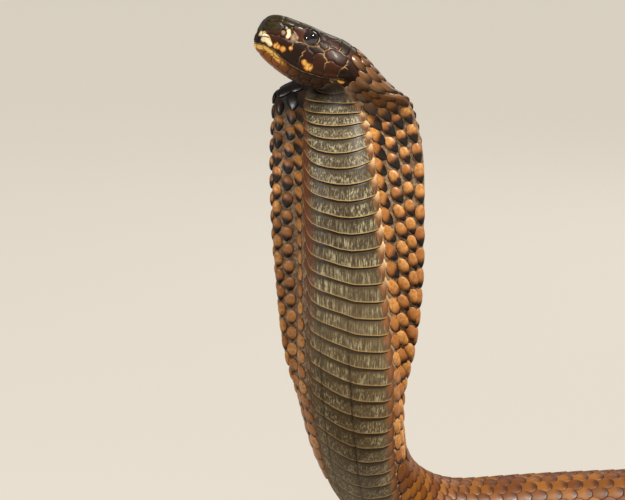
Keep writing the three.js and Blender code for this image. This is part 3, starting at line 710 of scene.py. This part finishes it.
def plate_paint():
    paint = new_paint("belly_plate_horn")
    mottle, height = paint.group(GRAIN, Size=1.0)
    along, across, low, station = (paint.value(key) for key in ("along", "across", "lower", "station"))
    streak = paint.noise(0.75, 2, 0.5, stretch=(1.0, 1.0, 0.06))
    broken = paint.noise(2.0, 4, 0.65, stretch=(1.0, 1.0, 0.5))
    broad = paint.noise(12, 3, 0.6, stretch=(1.0, 1.0, 0.8))
    # pale streaks on the plates: partly pale mottling of the horn, partly painted sheen
    pale = paint.times(paint.band(streak, 0.42, 0.62), paint.band(broken, 0.40, 0.56, 0.15, 1.0))
    pale = paint.times(pale, paint.band(broad, 0.38, 0.62, 0.35, 1.0))
    pale = paint.times(pale, paint.band(along, 0.24, 0.55))
    grey = paint.between(mottle, 0.3, 0.7, tone(50, 39, 23), tone(76, 62, 39))
    warm = paint.between(across, 0.84, 0.97, tone(140, 84, 38), tone(78, 43, 19))
    # corner: the rounded plate ends on the animal's left, where a painted highlight is laid
    corner = paint.minus(across, paint.times(along, 0.34))
    dusk = paint.group(MARKING, Station=station)["Dusk"]
    colour = paint.over(
        # each plate is painted darker just behind the rear edge of the plate before it: painted shade under
        # that edge
        paint.between(along, 0.1, 0.4, tone(34, 25, 14), grey),
        # pale streaks: partly pale mottling, partly painted sheen
        (pale, tone(174, 164, 130)),
        (paint.times(low, 0.14), tone(176, 150, 104)),
        (paint.band(across, 0.66, 0.88), paint.between(along, 0.3, 0.95, warm, tone(88, 49, 21))),
        # painted highlight on the rounded ends on the animal's left, strongest high on the hood
        (paint.times(paint.band(corner, 0.62, 0.84), paint.band(low, 0, 1, 0.9, 0)), tone(214, 180, 136)),
        # band on the animal's right side of the plates, fading lower down: partly the plates' own
        # orange-brown ends, partly painted shade on the side turned from the light
        (paint.minus(paint.band(across, -0.55, -0.86), paint.times(low, 0.65)), tone(106, 56, 22)),
        # thin painted highlight along the very rim of those ends
        (paint.times(paint.band(across, 0.93, 0.985), paint.band(low, 0, 1, 0.9, 0.35)), tone(232, 204, 156)),
        (paint.value("line"), tone(186, 152, 92)),
        # first plates under the throat: partly the dark throat band, partly painted shadow under the jaw
        (paint.value("shade"), tone(24, 14, 7)),
        (paint.band(station, 0.155, 0.2), paint.mix(dusk, tone(146, 112, 66), tone(70, 57, 42))),
        # creases painted darker in broken lines: painted shade in the folds of the plates
        (paint.times(paint.value("crease"), paint.band(broken, 0.42, 0.56, 0.2, 0.85)), tone(34, 24, 12)))
    rough = paint.band(streak, 0.3, 0.7, 0.42, 0.56)
    return paint.finish(colour, rough, paint.bump(paint.plus(streak, height), 0.3, 0.14), 0.06, 0.3, 0.4)


def head_paint():
    paint = new_paint("head_shield_horn")
    mottle, height = paint.group(GRAIN, Size=1.2)
    crown = paint.value("crown")
    shade = paint.plus(paint.value("tone"), paint.sway(mottle, 0.8))
    speck = paint.sway(paint.noise(1.6, 5, 0.75), 2.2)
    patches = []
    # the pale patches hold painted highlights on the snout tip and painted glints by the nostril
    for key, amount, dull, light in (("yellow", 0.6, tone(184, 116, 42), tone(238, 190, 98)),
                                     ("pale", 0.5, tone(214, 176, 112), tone(248, 236, 200))):
        edge = paint.plus(paint.value(key), paint.times(speck, amount))
        patches.append((paint.band(edge, 0.25, 0.6), paint.between(edge, 0.55, 1.1, dull, light)))
    colour = paint.over(
        paint.between(shade, -0.9, 0.9, tone(34, 18, 9), tone(68, 33, 15)),
        (crown, paint.between(mottle, 0.3, 0.7, tone(32, 27, 14), tone(58, 48, 27))),
        (paint.value("jaw"), paint.mix(paint.value("rear"), tone(138, 80, 30), tone(56, 33, 14))),
        *patches,
        (paint.value("seam"), paint.mix(paint.value("light_seam"), tone(24, 14, 7), tone(190, 150, 100))),
        # painted shade in the mouth slit, the nostril and round the eye socket, with the dark seam across the
        # snout
        (paint.value("mouth"), tone(22, 11, 5)))
    rough = paint.band(crown, 0.0, 1.0, 0.46, 0.28)
    return paint.finish(colour, rough, paint.bump(height, 0.26, 0.12), 0.02, 0.12, 0.18)


def eye_paint():
    paint = new_paint("wet_eye")
    radial, fibres = paint.value("radial"), paint.noise(0.9, 3, 0.6)
    colour = paint.over(
        tone(6, 5, 5),
        (paint.band(radial, 0.5, 0.54), paint.between(fibres, 0.35, 0.7, tone(20, 14, 11), tone(46, 30, 20))),
        (paint.band(radial, 0.86, 0.97), tone(16, 10, 8)))
    return paint.finish(colour, 0.08, paint.bump(fibres, 0.02, 0.02), 1.0, 0.03)


# The skin: one closed piece from the snout to the tip of the tail, just under the scales
def skin_height(u, v):
    head = 1 - step(u, 8.4, 9.2)
    tail = step(u, LAST - 6, LAST)
    return -0.45 - 0.55 * head + 0.3 * tail


def dark_band_and_painted_shadow(u, v):
    """Dark band round the front of the hood, below the throat: partly the band's own pigment, partly painted
    shadow of the head above it.
    """
    side = np.where(v > 8, v - 16, v)
    top = 1 - step(u, 10.4, 11.4)
    return top * step(-side, 2.6, 3.4)


def skin_values(u, v):
    return {"station": share_at(u), "hood": 1 - step(u, 20.5, 23.5), "shade": dark_band_and_painted_shadow(u, v)}


# Rows of the skin's points, closest together on the hood
hood_rows = np.arange(8.6, 25, 0.11)
neck_rows = np.concatenate([np.arange(0.3, 8.6, 0.17), hood_rows, np.arange(25, LAST - 0.05, 0.17)])
skin_piece = tube_piece("skin", neck_rows, 96, skin_height, skin_values, skin_paint())
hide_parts(*[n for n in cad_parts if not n.startswith("eye")])


# Head shields: points back, left and up from the snout tip that each shield gathers round
SHIELDS = [
    [(-0.3, 0, 1), (0.5, 0, 9)],
    [(6.5, 4.2, 18.8)],
    [(13.5, 4.8, 20.6), (15, 9.3, 18.6)],
    [(20.5, 0, 21.5), (25.5, 0, 21.7), (29.5, 0, 21.9)],
    [(24, 9.6, 20.4), (29, 10.8, 20.4), (33, 11.2, 20.4)],
    [(38, 5.2, 22.3), (44, 6.6, 22.5), (40, 10.5, 21.3)],
    [(55, 5.6, 21.8), (59, 6, 20.8)],
    [(43.5, 16.5, 17.8)], [(52, 16.5, 17.6)],
    [(5.8, 11, 9.5)], [(15.5, 13.8, 11)],
    [(21.6, 14.9, 13.6), (20.5, 13.6, 16.2)],
    [(35.2, 14.8, 17.6)], [(37, 18, 13.8)], [(34.6, 18.9, 9.6)],
    [(8, 10.6, -2.5), (7.8, 11.6, 3)],
    [(15.6, 13.2, -3), (15.8, 14.5, 3.4)],
    [(24, 14.8, -3.8), (24, 16.8, 4.2)],
    [(31, 16.9, -4.2), (31, 18.9, 3.4)],
    [(40, 18.9, -3), (37, 20.6, 5)],
    [(49.5, 21, -1.5), (48, 22.7, 3.5)],
    [(56.8, 22.4, 2.5)],
    [(43.5, 21, 10.8), (49, 22.6, 9.5)],
    [(57.5, 17.4, 17)], [(60.5, 23, 8.5)],
    [(1.2, 0, -5.5)],
    [(4, 5.5, -7.5)], [(9.5, 7.8, -9.5)], [(15.5, 10.2, -10.4)], [(22, 12, -11)], [(29, 13.6, -11.2)],
    [(36.5, 15, -11)], [(44, 16.4, -9.8)], [(51.5, 17.8, -7.6)], [(58, 18.6, -4.2)],
    [(9.5, 3.2, -10.9), (15, 3.8, -12.6)],
    [(22, 4.4, -13.8), (27, 5, -14.4)],
]
GULAR_ROWS = 7
GULAR_START = 33.0
GULAR_PITCH = 4.8
EYE = np.array([29.5, 11.7, 13.5])
EYE_AXIS = unit(np.array([0.0, 0.89, 0.455]))
EYE_RADIUS = 6.2
EYE_BULGE = 0.45
EYE_OPEN = 4.7
NOSTRIL = np.array([11.6, 12.9, 10.4])
MOUTH_BACK = [-8, 1.1, 4, 6, 9.4, 12.9, 17, 21.8, 26.8, 33.3, 39, 45.6, 51.1, 58.5, 62]
MOUTH_UP = [-3.2, -3.4, -2.5, -1.9, -2.5, -3.2, -4.8, -6.1, -6.8, -7.0, -6.1, -5.2, -3.0, 0.2, 1.5]

# Height above which the head is dark, along it from the snout
CROWN_BACK = [-2, 0, 3.6, 11, 20, 28, 37, 46, 56]
CROWN_UP = [5.0, 5.4, 7.0, 12.1, 17.0, 18.7, 19.4, 19.6, 19.0]

# Soft forms of the head: place back and up, spread both ways, height
FORMS = [(29.5, 20, 8, 2.2, 1.5), (29, 14.4, 6.4, 6, -0.6), (18.5, 10.5, 4.5, 4.5, -0.8),
         (14, 17, 8, 2.4, 0.6), (49, 5.5, 8, 6, 1.0)]

# Pale and yellow patches of the snout and lips: place and radius. The pale patches at the snout tip are
# partly pale pigment and partly painted highlight; the last three, by the nostril, are painted glints.
PALE_SPOTS_AND_GLINTS = [(0.2, 5.0, 3.6, 2.0), (1.2, 8.6, 3.6, 2.4), (3.6, 10.4, 2.4, 2.3), (5.6, 11.0, 0.8, 2.1),
        (2.4, 8.4, 0.4, 1.8), (7.6, 11.0, -0.2, 1.5), (14.2, 13.2, 12.6, 1.5), (15.2, 13.9, 10.8, 1.3),
        (14.8, 14.2, 9.0, 1.3)]
YELLOW = [(34.4, 18.5, -2.6, 2.9), (30.4, 17.9, -1.2, 1.9), (11.4, 12.6, 0.6, 2.2), (15.6, 13.9, 0.6, 1.9),
          (19.6, 15.4, 3.2, 1.5), (52, 20.1, -3.4, 1.8), (55, 20, -2.8, 1.8), (58, 20, -1.9, 1.6)]

# Dark line across the pale snout
CRACK = [(0.1, 4.1, -0.9), (0.7, 7.0, 1.3), (2.6, 10.0, 3.0), (4.7, 11.2, 3.2)]

# Places where the seams between shields are pale
PALE_SEAMS = [
    (34.3, 18.2, 13.1), (39, 19.2, 13.4), (41.5, 19.7, 13.5), (48.3, 19.7, 15.4), (50.8, 21.4, 13.2),
    (53.2, 22.7, 10.8), (54.9, 23.1, 9.5), (54.6, 23.4, 6.5), (54.5, 23.5, 3.7), (44.5, 23, 2.1),
    (47.1, 23.3, 1.9), (51.9, 21.5, -1.6), (19.8, 15.8, 7), (21.4, 16.2, 4), (23, 16.5, 1),
    (27, 18, 4.3), (28.6, 18, 1.2), (30, 17.8, -1.8), (37, 20.8, 9.6), (40.7, 21.7, 8.4), (42.6, 22.4, 5.2)]


def all_shields():
    seeds, owner = [], []
    rows = list(SHIELDS)
    for i in range(GULAR_ROWS):
        x = GULAR_START + GULAR_PITCH * i
        for y in ((0, 6.4, 12.4) if i % 2 else (3.2, 9.6)):
            rows.append([(x, y, -14.5 + 0.02 * y * y)])
    number = 0
    for places in rows:
        for side in ((1, -1) if places[0][1] > 0.5 else (1,)):
            for x, y, q in places:
                seeds.append((x, side * y, q))
                owner.append(number)
            number += 1
    return np.array(seeds, float), np.array(owner)


def hill(x, centre, width):
    return np.exp(-((x - centre) / width) ** 2)


def blob(p, rows):
    """Mask of round patches, from the place and radius of each."""
    spots = [np.exp(-(((p - np.array(r[:3])) ** 2).sum(1) / r[3] ** 2) ** 1.5) for r in rows]
    return np.clip(sum(spots), 0, 1)


def shield_edges(p):
    """Shield that each point of the head belongs to, and how far inside its edge the point is."""
    seeds, owner = all_shields()
    near = np.array([p[np.argmin(((p - s) ** 2).sum(1))] for s in seeds])
    waves = [np.sin(p[:, 2] * 1.7 + 1), np.sin(p[:, 0] * 1.3), np.sin(p[:, 0] * 1.1 + p[:, 1])]
    d2 = ((((p + 0.3 * np.stack(waves, -1))[:, None, :] - near[None]) ** 2)).sum(-1)
    first = d2.argmin(1)
    mine = owner[first]
    other = np.where(owner[None, :] == mine[:, None], 1e9, d2)
    second = other.argmin(1)
    i = np.arange(len(p))
    apart = span(near[first] - near[second]) + 1e-6
    return mine, (other[i, second] - d2[i, first]) / (2 * apart), owner.max() + 1


def from_line(p, places):
    """Distance from a line of straight stretches."""
    away = np.full(len(p), 99.0)
    for a, b in zip(np.array(places[:-1]), np.array(places[1:])):
        share = np.clip((p - a) @ (b - a) / ((b - a) @ (b - a)), 0, 1)
        away = np.minimum(away, span(p - a - share[:, None] * (b - a)))
    return away


def head_form(u, v):
    """Relief and markings of the head over the smooth skin."""
    p = to_head(skin(u, v)).reshape(-1, 3)
    mine, edge, count = shield_edges(p)
    back, up = p[:, 0], p[:, 2]
    line = np.interp(back, MOUTH_BACK, MOUTH_UP)
    slope = np.interp(back + 1, MOUTH_BACK, MOUTH_UP) - line
    off = (up - line) / np.sqrt(1 + slope ** 2)
    fade = 1 - step(back, 57, 62.5)
    lips = fade * mix(0.15, 1, np.clip((back - 1) / 8, 0, 1))
    groove = hill(off, 0, 0.34) * fade

    mirrored = np.stack([back, np.abs(p[:, 1]), up], -1)
    to_eye = mirrored - EYE
    out = to_eye @ EYE_AXIS
    from_axis = span(to_eye - out[:, None] * EYE_AXIS)
    facing = out > 0
    socket = (1 - step(from_axis, 4.3, 4.9)) * facing
    rim = hill(from_axis, 5.3, 0.5) * facing
    around_eye = (1 - step(from_axis, 4.8, 6.4)) * facing
    under_eye = hill(from_axis, 6.1, 0.5) * facing * step(EYE[2] - up, 0, 2.5)
    from_nostril = span((mirrored - NOSTRIL) * [0.85, 0.4, 0.7])
    hole = 1 - step(from_nostril, 0.75, 1.25)
    quiet = (1 - np.clip(socket + rim + hole, 0, 1)) * (1 - groove) * (1 - step(back, 60, 64))
    height = sum(high * hill(back, fb, wide) * hill(up, fu, tall) for fb, fu, wide, tall, high in FORMS)
    height += lips * 0.55 * hill(np.abs(off), 1.9, 1.3)
    height += quiet * (0.18 * step(edge, 0.1, 1.6) - 0.34 * (1 - step(edge, 0, 0.42)))
    height += 0.42 * rim + 0.22 * hill(from_nostril, 1.75, 0.45) - 1.9 * hole - 2.4 * socket - 1.15 * groove

    tones = np.random.default_rng(11).uniform(-1, 0.5, count)
    ruddy = np.exp(-(((mirrored - [21, 14.6, 13.6]) / [4.5, 9, 2.6]) ** 2).sum(1))
    ruddy += 0.6 * np.exp(-(((mirrored - [44, 21, 9.5]) / [6, 9, 5]) ** 2).sum(1))
    seam = (1 - step(edge, 0.08, 0.34)) * quiet
    lip = step(-off, 0.1, 0.5) * (1 - step(-off, 2.4, 4.0)) * (1 - step(back, 14, 27))
    crack = 1 - step(from_line(mirrored, CRACK), 0.15, 0.5)
    light = blob(mirrored, [(*q, 2.2) for q in PALE_SEAMS])
    values = {
        "seam": np.clip(seam + 0.45 * under_eye, 0, 1),
        "tone": np.clip(tones[mine] + ruddy, -1, 1),
        "crown": step(up - np.interp(back, CROWN_BACK, CROWN_UP), -0.4, 0.7),
        "jaw": step(-off, 0, 0.4) * (1 - step(back, 56, 62)),
        "rear": step(back, 12, 36),
        "yellow": np.clip(blob(mirrored, YELLOW) + 1.1 * lip, 0, 1.1),
        "pale": blob(mirrored, PALE_SPOTS_AND_GLINTS),
        # mouth slit, nostril and ring round the eye socket painted near black as painted shade in these
        # hollows, with the dark seam across the snout
        "mouth": np.clip(groove * 1.2 + hole + crack + around_eye * 0.75 * (1 - socket), 0, 1),
        "light_seam": np.clip(light + under_eye, 0, 1),
    }
    return (height - 0.55).reshape(u.shape), {k: x.reshape(u.shape) for k, x in values.items()}


HEAD_AROUND = 340
head_u = np.linspace(0.02, 8.9, 190)
relief, markings = head_form(*np.meshgrid(head_u, np.arange(HEAD_AROUND) * 16 / HEAD_AROUND, indexing="ij"))
head_piece = tube_piece("head_shields", head_u, HEAD_AROUND, lambda u, v: relief, lambda u, v: markings,
                        head_paint())
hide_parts("head", "lower_jaw")


def make_eye(name, side):
    """Ball with a slightly bulging front, turned to look out of its socket."""
    centre = EYE * [1, side, 1]
    middle = from_head(centre) * MM
    look = unit(from_head(centre + EYE_AXIS * [1, side, 1]) - from_head(centre))
    turn = Vector((0, 0, 1)).rotation_difference(Vector(look)).to_euler()
    bpy.ops.mesh.primitive_uv_sphere_add(segments=48, ring_count=40, radius=EYE_RADIUS * MM,
                                         location=middle, rotation=turn)
    ball = bpy.context.object
    ball.name = name
    bpy.ops.object.transform_apply(location=True, rotation=True, scale=True)
    me = ball.data
    co = np.zeros(len(me.vertices) * 3, np.float32)
    me.vertices.foreach_get("co", co)
    q = co.reshape(-1, 3) - middle
    out = q @ look
    away = span(q - out[:, None] * look) / MM
    bulge = EYE_BULGE * MM * np.clip(1 - (away / 3.6) ** 2, 0, 1) * (out > 0)
    q += look[None, :] * bulge[:, None]
    me.vertices.foreach_set("co", (q + middle).astype(np.float32).ravel())
    radial = np.where(out > 0, away / EYE_OPEN, 1.5)
    me.attributes.new("radial", "FLOAT", "POINT").data.foreach_set("value", radial.astype(np.float32))
    me.polygons.foreach_set("use_smooth", np.ones(len(me.polygons), bool))
    me.materials.append(EYE_PAINT)
    ball.select_set(False)
    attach(ball, "root")
    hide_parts(name.replace("ball", "eye"))


EYE_PAINT = eye_paint()
make_eye("ball_left", 1)
make_eye("ball_right", -1)


# Belly plates: each runs from under the one before it to a free rear edge
PLATE_T = np.array([0, 0.3, 0.55, 0.74, 0.86, 0.92, 0.95, 0.98, 1.0])
LOW_PLATE_T = np.array([0, 0.5, 0.86, 0.92, 1.0])
PLATE_OVERLAP = 1.14
PLATE_LOBE = 0.10
CREASES = (-0.6, 0.1)
RAISED_END_U = 27.5


def plates_piece(name, first, last, across_count, t_rows, material, chance):
    w = np.linspace(-1, 1, across_count)
    lines = [np.where(x > 0, x * edge_left, x * edge_right) for x in w]
    rows = np.array([row_line(line) for line in lines])
    k = np.arange(first, last + 1)[:, None, None]
    t = t_rows[:, None]
    side = np.abs(w)
    target = k - PLATE_OVERLAP * (1 - t) - 0.62 * step(side, 0.80, 1.0) ** 1.4 * t
    u, v = np.zeros(target.shape), np.zeros(target.shape)
    lobe = 1 + PLATE_LOBE * step(t_rows, 0.1, 0.7) * (1 - step(t_rows, 0.8, 1.05))
    for j in range(len(w)):
        u[:, :, j] = np.interp(target[:, :, j], rows[j], GRID_U)
        v[:, :, j] = np.interp(u[:, :, j], GRID_U, lines[j]) * mix(1, lobe, w[j] ** 8)
    h = (-0.22 + t ** 1.15 + 0.12 * hill(t, 0.965, 0.03)) * (1 - 0.75 * step(side, 0.93, 1.0))
    crease = step(u, 16, 19) * (1 - step(u, 26, 27.5)) * sum(hill(w, place, 0.024) for place in CREASES)
    h = (h - 0.36 * crease) * np.clip(radius_at(u) / FULL_RADIUS, 0.3, 1)
    points = np.stack([raised(u, v, h), raised(u, v, np.full(u.shape, -0.55))], 1)
    at = np.arange(u[0].size).reshape(u[0].shape)
    outside = np.stack([at[:-1, :-1], at[1:, :-1], at[1:, 1:], at[:-1, 1:]], -1).reshape(-1, 4)
    border = np.concatenate([at[:-1, 0], at[-1, :-1], at[:0:-1, -1], at[0, :0:-1]])
    after = np.roll(border, -1)
    walls = np.stack([after, border, border + at.size, after + at.size], -1)
    one = np.concatenate([outside, outside[:, [0, 3, 2, 1]] + at.size, walls])[:, ::-1]
    faces = (one + (k - first) * 2 * at.size).reshape(-1, 4)
    share = share_at(np.interp(k - 0.97 + 0.94 * t, rows[len(w) // 2], GRID_U))

    def both(x):
        """Values of the outside, said again for the underside."""
        return np.stack([np.broadcast_to(x, u.shape)] * 2, 1).ravel()

    flat_u = 0.02 + 0.96 * (share - share.min()) / (share.max() - share.min())
    flat = np.stack([both(flat_u), both(0.5 + 0.46 * w)], -1)
    values = {
        "along": t, "across": w, "station": share_at(u), "lower": step(u, 14.5, 18), "crease": crease,
        "line": step(t, 0.935, 0.975) * (1 - 0.5 * step(side, 0.8, 1.0)),
        # shade: the first plates under the throat, partly the dark throat band and partly painted shadow
        # under the jaw
        "shade": 0.9 * (1 - step(target, 0.5, 2.6)), "tone": chance.uniform(-1, 1, k.shape),
    }
    values = {key: both(x) for key, x in values.items()}
    return mesh_piece(name, points.reshape(-1, 3), [faces], [flat[faces]], values, material)


chance = np.random.default_rng(7)
middle_rows = row_line(np.zeros(len(GRID_U)))
raised_last = int(np.interp(RAISED_END_U, GRID_U, middle_rows))
tail_last = int(middle_rows[-1]) - 1
PLATE_PAINT = plate_paint()
plates_piece("front_plates", 1, raised_last, 61, PLATE_T, PLATE_PAINT, chance)
plates_piece("belly_plates", raised_last + 1, tail_last, 17, LOW_PLATE_T, PLATE_PAINT, chance)

# Scales: separate ovals on the open skin of the hood, and blunt overlapping scales on the body
oval = scale_form(
    20, [0.3, 0.58, 0.8, 0.93, 1.0],
    lambda a: (np.cos(a), np.sin(a) * (1 - 0.20 * np.cos(a) - 0.14 * np.maximum(np.cos(a), 0) ** 2)),
    lambda r, a: 1 - r ** 2.8 + 0.14, 0.4)
lap = scale_form(
    12, [0.5, 0.86, 1.0],
    lambda a: [np.sign(x) * np.abs(x) ** 0.92 for x in (np.cos(a), np.sin(a))],
    lambda r, a: 0.30 * (1 - r ** 2.5) + 0.05, 0.45)
HOOD_PAINT = hood_scale_paint()
BODY_PAINT = body_scale_paint()
NAPE_BACK = 60.5


def brick_offset(c):
    return 0.33 + 0.5 * (c % 2 == 0)


def hood_offset(side, c):
    return 0.0 if c <= 4 or side == 0 else brick_offset(c)


def nape_start(side, c, line):
    back = to_head(skin(GRID_U, np.abs(line)))[:, 0]
    return GRID_U[np.argmax((back > NAPE_BACK) & (GRID_U > 7.5))]


# Half length, half width and turn of the scales on the front of the open hood, from the plates outward
SIZES_LEFT = [(7.6, 4.0, 44), (6.2, 3.3, 30), (5.9, 3.0, 18), (6.6, 3.2, 6)]
SIZES_RIGHT = [(4.8, 5.2, 12), (4.9, 3.6, 8), (5.2, 3.0, 3), (4.8, 3.2, 0)]


def hood_sizes(side, c, u, long, wide):
    """Half length, half width, turn, height and lift of each scale of a column."""
    open_hood = step(u, 9.5, 11.5) * (1 - step(u, 19, 22.5))
    half_l = long * mix(0.60, 0.46, open_hood)
    half_w = wide * mix(0.62, 0.40, open_hood)
    angle = np.zeros(len(u))
    if c <= 4:
        want = (SIZES_LEFT if side > 0 else SIZES_RIGHT)[c - 1]
        half_l = mix(half_l, want[0], open_hood)
        half_w = mix(half_w, want[1], open_hood)
        angle = np.radians(want[2]) * open_hood
    high = mix(0.55, 1.15, open_hood)
    lift = mix(0.75, 0.25, open_hood)
    return [half_l, half_w, angle, high, lift]


def body_sizes(side, c, u, long, wide):
    small = np.clip(radius_at(u) / 26, 0.25, 1)
    return [long * 0.64, wide * 0.66, np.zeros(len(u)), small, 0.85 * small]


hood_spots = column_spots(*column_lines(HOOD_COLUMNS, True), nape_start, HOOD_END_U, hood_offset, hood_sizes)
scales_piece("hood_scales", oval, hood_spots, (7.5, HOOD_END_U + 0.5), HOOD_PAINT, chance)

# Lengths of the body's scales: name and columns on each side, and where on the ground all but the last end
SCALE_LENGTHS = [("front_scales", 7), ("middle_scales", 7), ("rear_scales", 7),
                 ("tail_scales", 5), ("tip_scales", 3)]
ENDS = [520, 1110, 1790, 2040]
cuts = [HOOD_END_U] + [GROUND_U + along / GROUND_STEP for along in ENDS] + [LAST - 0.4]
for (name, count), start, end in zip(SCALE_LENGTHS, cuts, cuts[1:]):
    spots = column_spots(*column_lines(count, False), lambda side, c, line: start, end,
                         lambda side, c: brick_offset(c), body_sizes)
    scales_piece(name, lap, spots, (start - 0.5, end + 0.5), BODY_PAINT, chance)

# Floor, light and camera, in metres. The photo has PIXELS_PER_MM pixels to a millimetre at the target
TARGET = (-0.1542, -0.1014, 0.225)
DISTANCE = 1.7
CAMERA_PITCH = math.radians(9)
PIXELS_PER_MM = 1.5625
PHOTO_WIDTH = 625
SENSOR = 36
bpy.ops.mesh.primitive_plane_add(size=80, location=(0, 0, -0.0006))
floor = bpy.context.object
floor.name = "floor"
floor_paint = new_paint("pale_floor")
floor_shader = floor_paint.nodes["Principled BSDF"]
floor_shader.inputs["Base Color"].default_value = (0.52, 0.50, 0.47, 1)
floor_shader.inputs["Roughness"].default_value = 0.8
floor.data.materials.append(floor_paint.material)


def add_light(name, kind, power, colour):
    lamp = add_object(name, bpy.data.lights.new(name, kind))
    lamp.data.energy = power
    lamp.data.color = colour
    return lamp


# A sun lights the whole floor alike, and two soft lamps aim at the middle of the hood
HOOD_MIDDLE = Vector((-0.13, -0.08, 0.2))
sun = add_light("key_light", "SUN", 4.6, (1.0, 0.94, 0.84))
sun.data.angle = math.radians(6)
sun.rotation_euler = (math.radians(38), 0, math.radians(48))
for name, place, size, power, colour in (
        ("front_light", (-1.2, -1.2, 1.05), 0.2, 10, (1.0, 0.97, 0.94)),
        ("rim_light", (0.6, 1.6, 1.4), 0.8, 5, (1.0, 0.97, 0.92))):
    lamp = add_light(name, "AREA", power, colour)
    lamp.data.size = size
    lamp.location = place
    lamp.rotation_euler = (HOOD_MIDDLE - Vector(place)).to_track_quat("-Z", "Y").to_euler()
world = bpy.context.scene.world or bpy.data.worlds.new("room")
bpy.context.scene.world = world
world.use_nodes = True
sky = world.node_tree.nodes["Background"]
sky.inputs[0].default_value = (0.80, 0.78, 0.74, 1)
sky.inputs[1].default_value = 0.26
bpy.context.scene.view_settings.view_transform = "Standard"

camera = bpy.data.cameras.new("camera")
camera.sensor_width = SENSOR
camera.lens = PIXELS_PER_MM * DISTANCE / MM / PHOTO_WIDTH * SENSOR
view = add_object("camera", camera)
view.location = (TARGET[0], TARGET[1] - DISTANCE * math.cos(CAMERA_PITCH),
                 TARGET[2] + DISTANCE * math.sin(CAMERA_PITCH))
view.rotation_euler = (math.pi / 2 - CAMERA_PITCH, 0, 0)
bpy.context.scene.camera = view
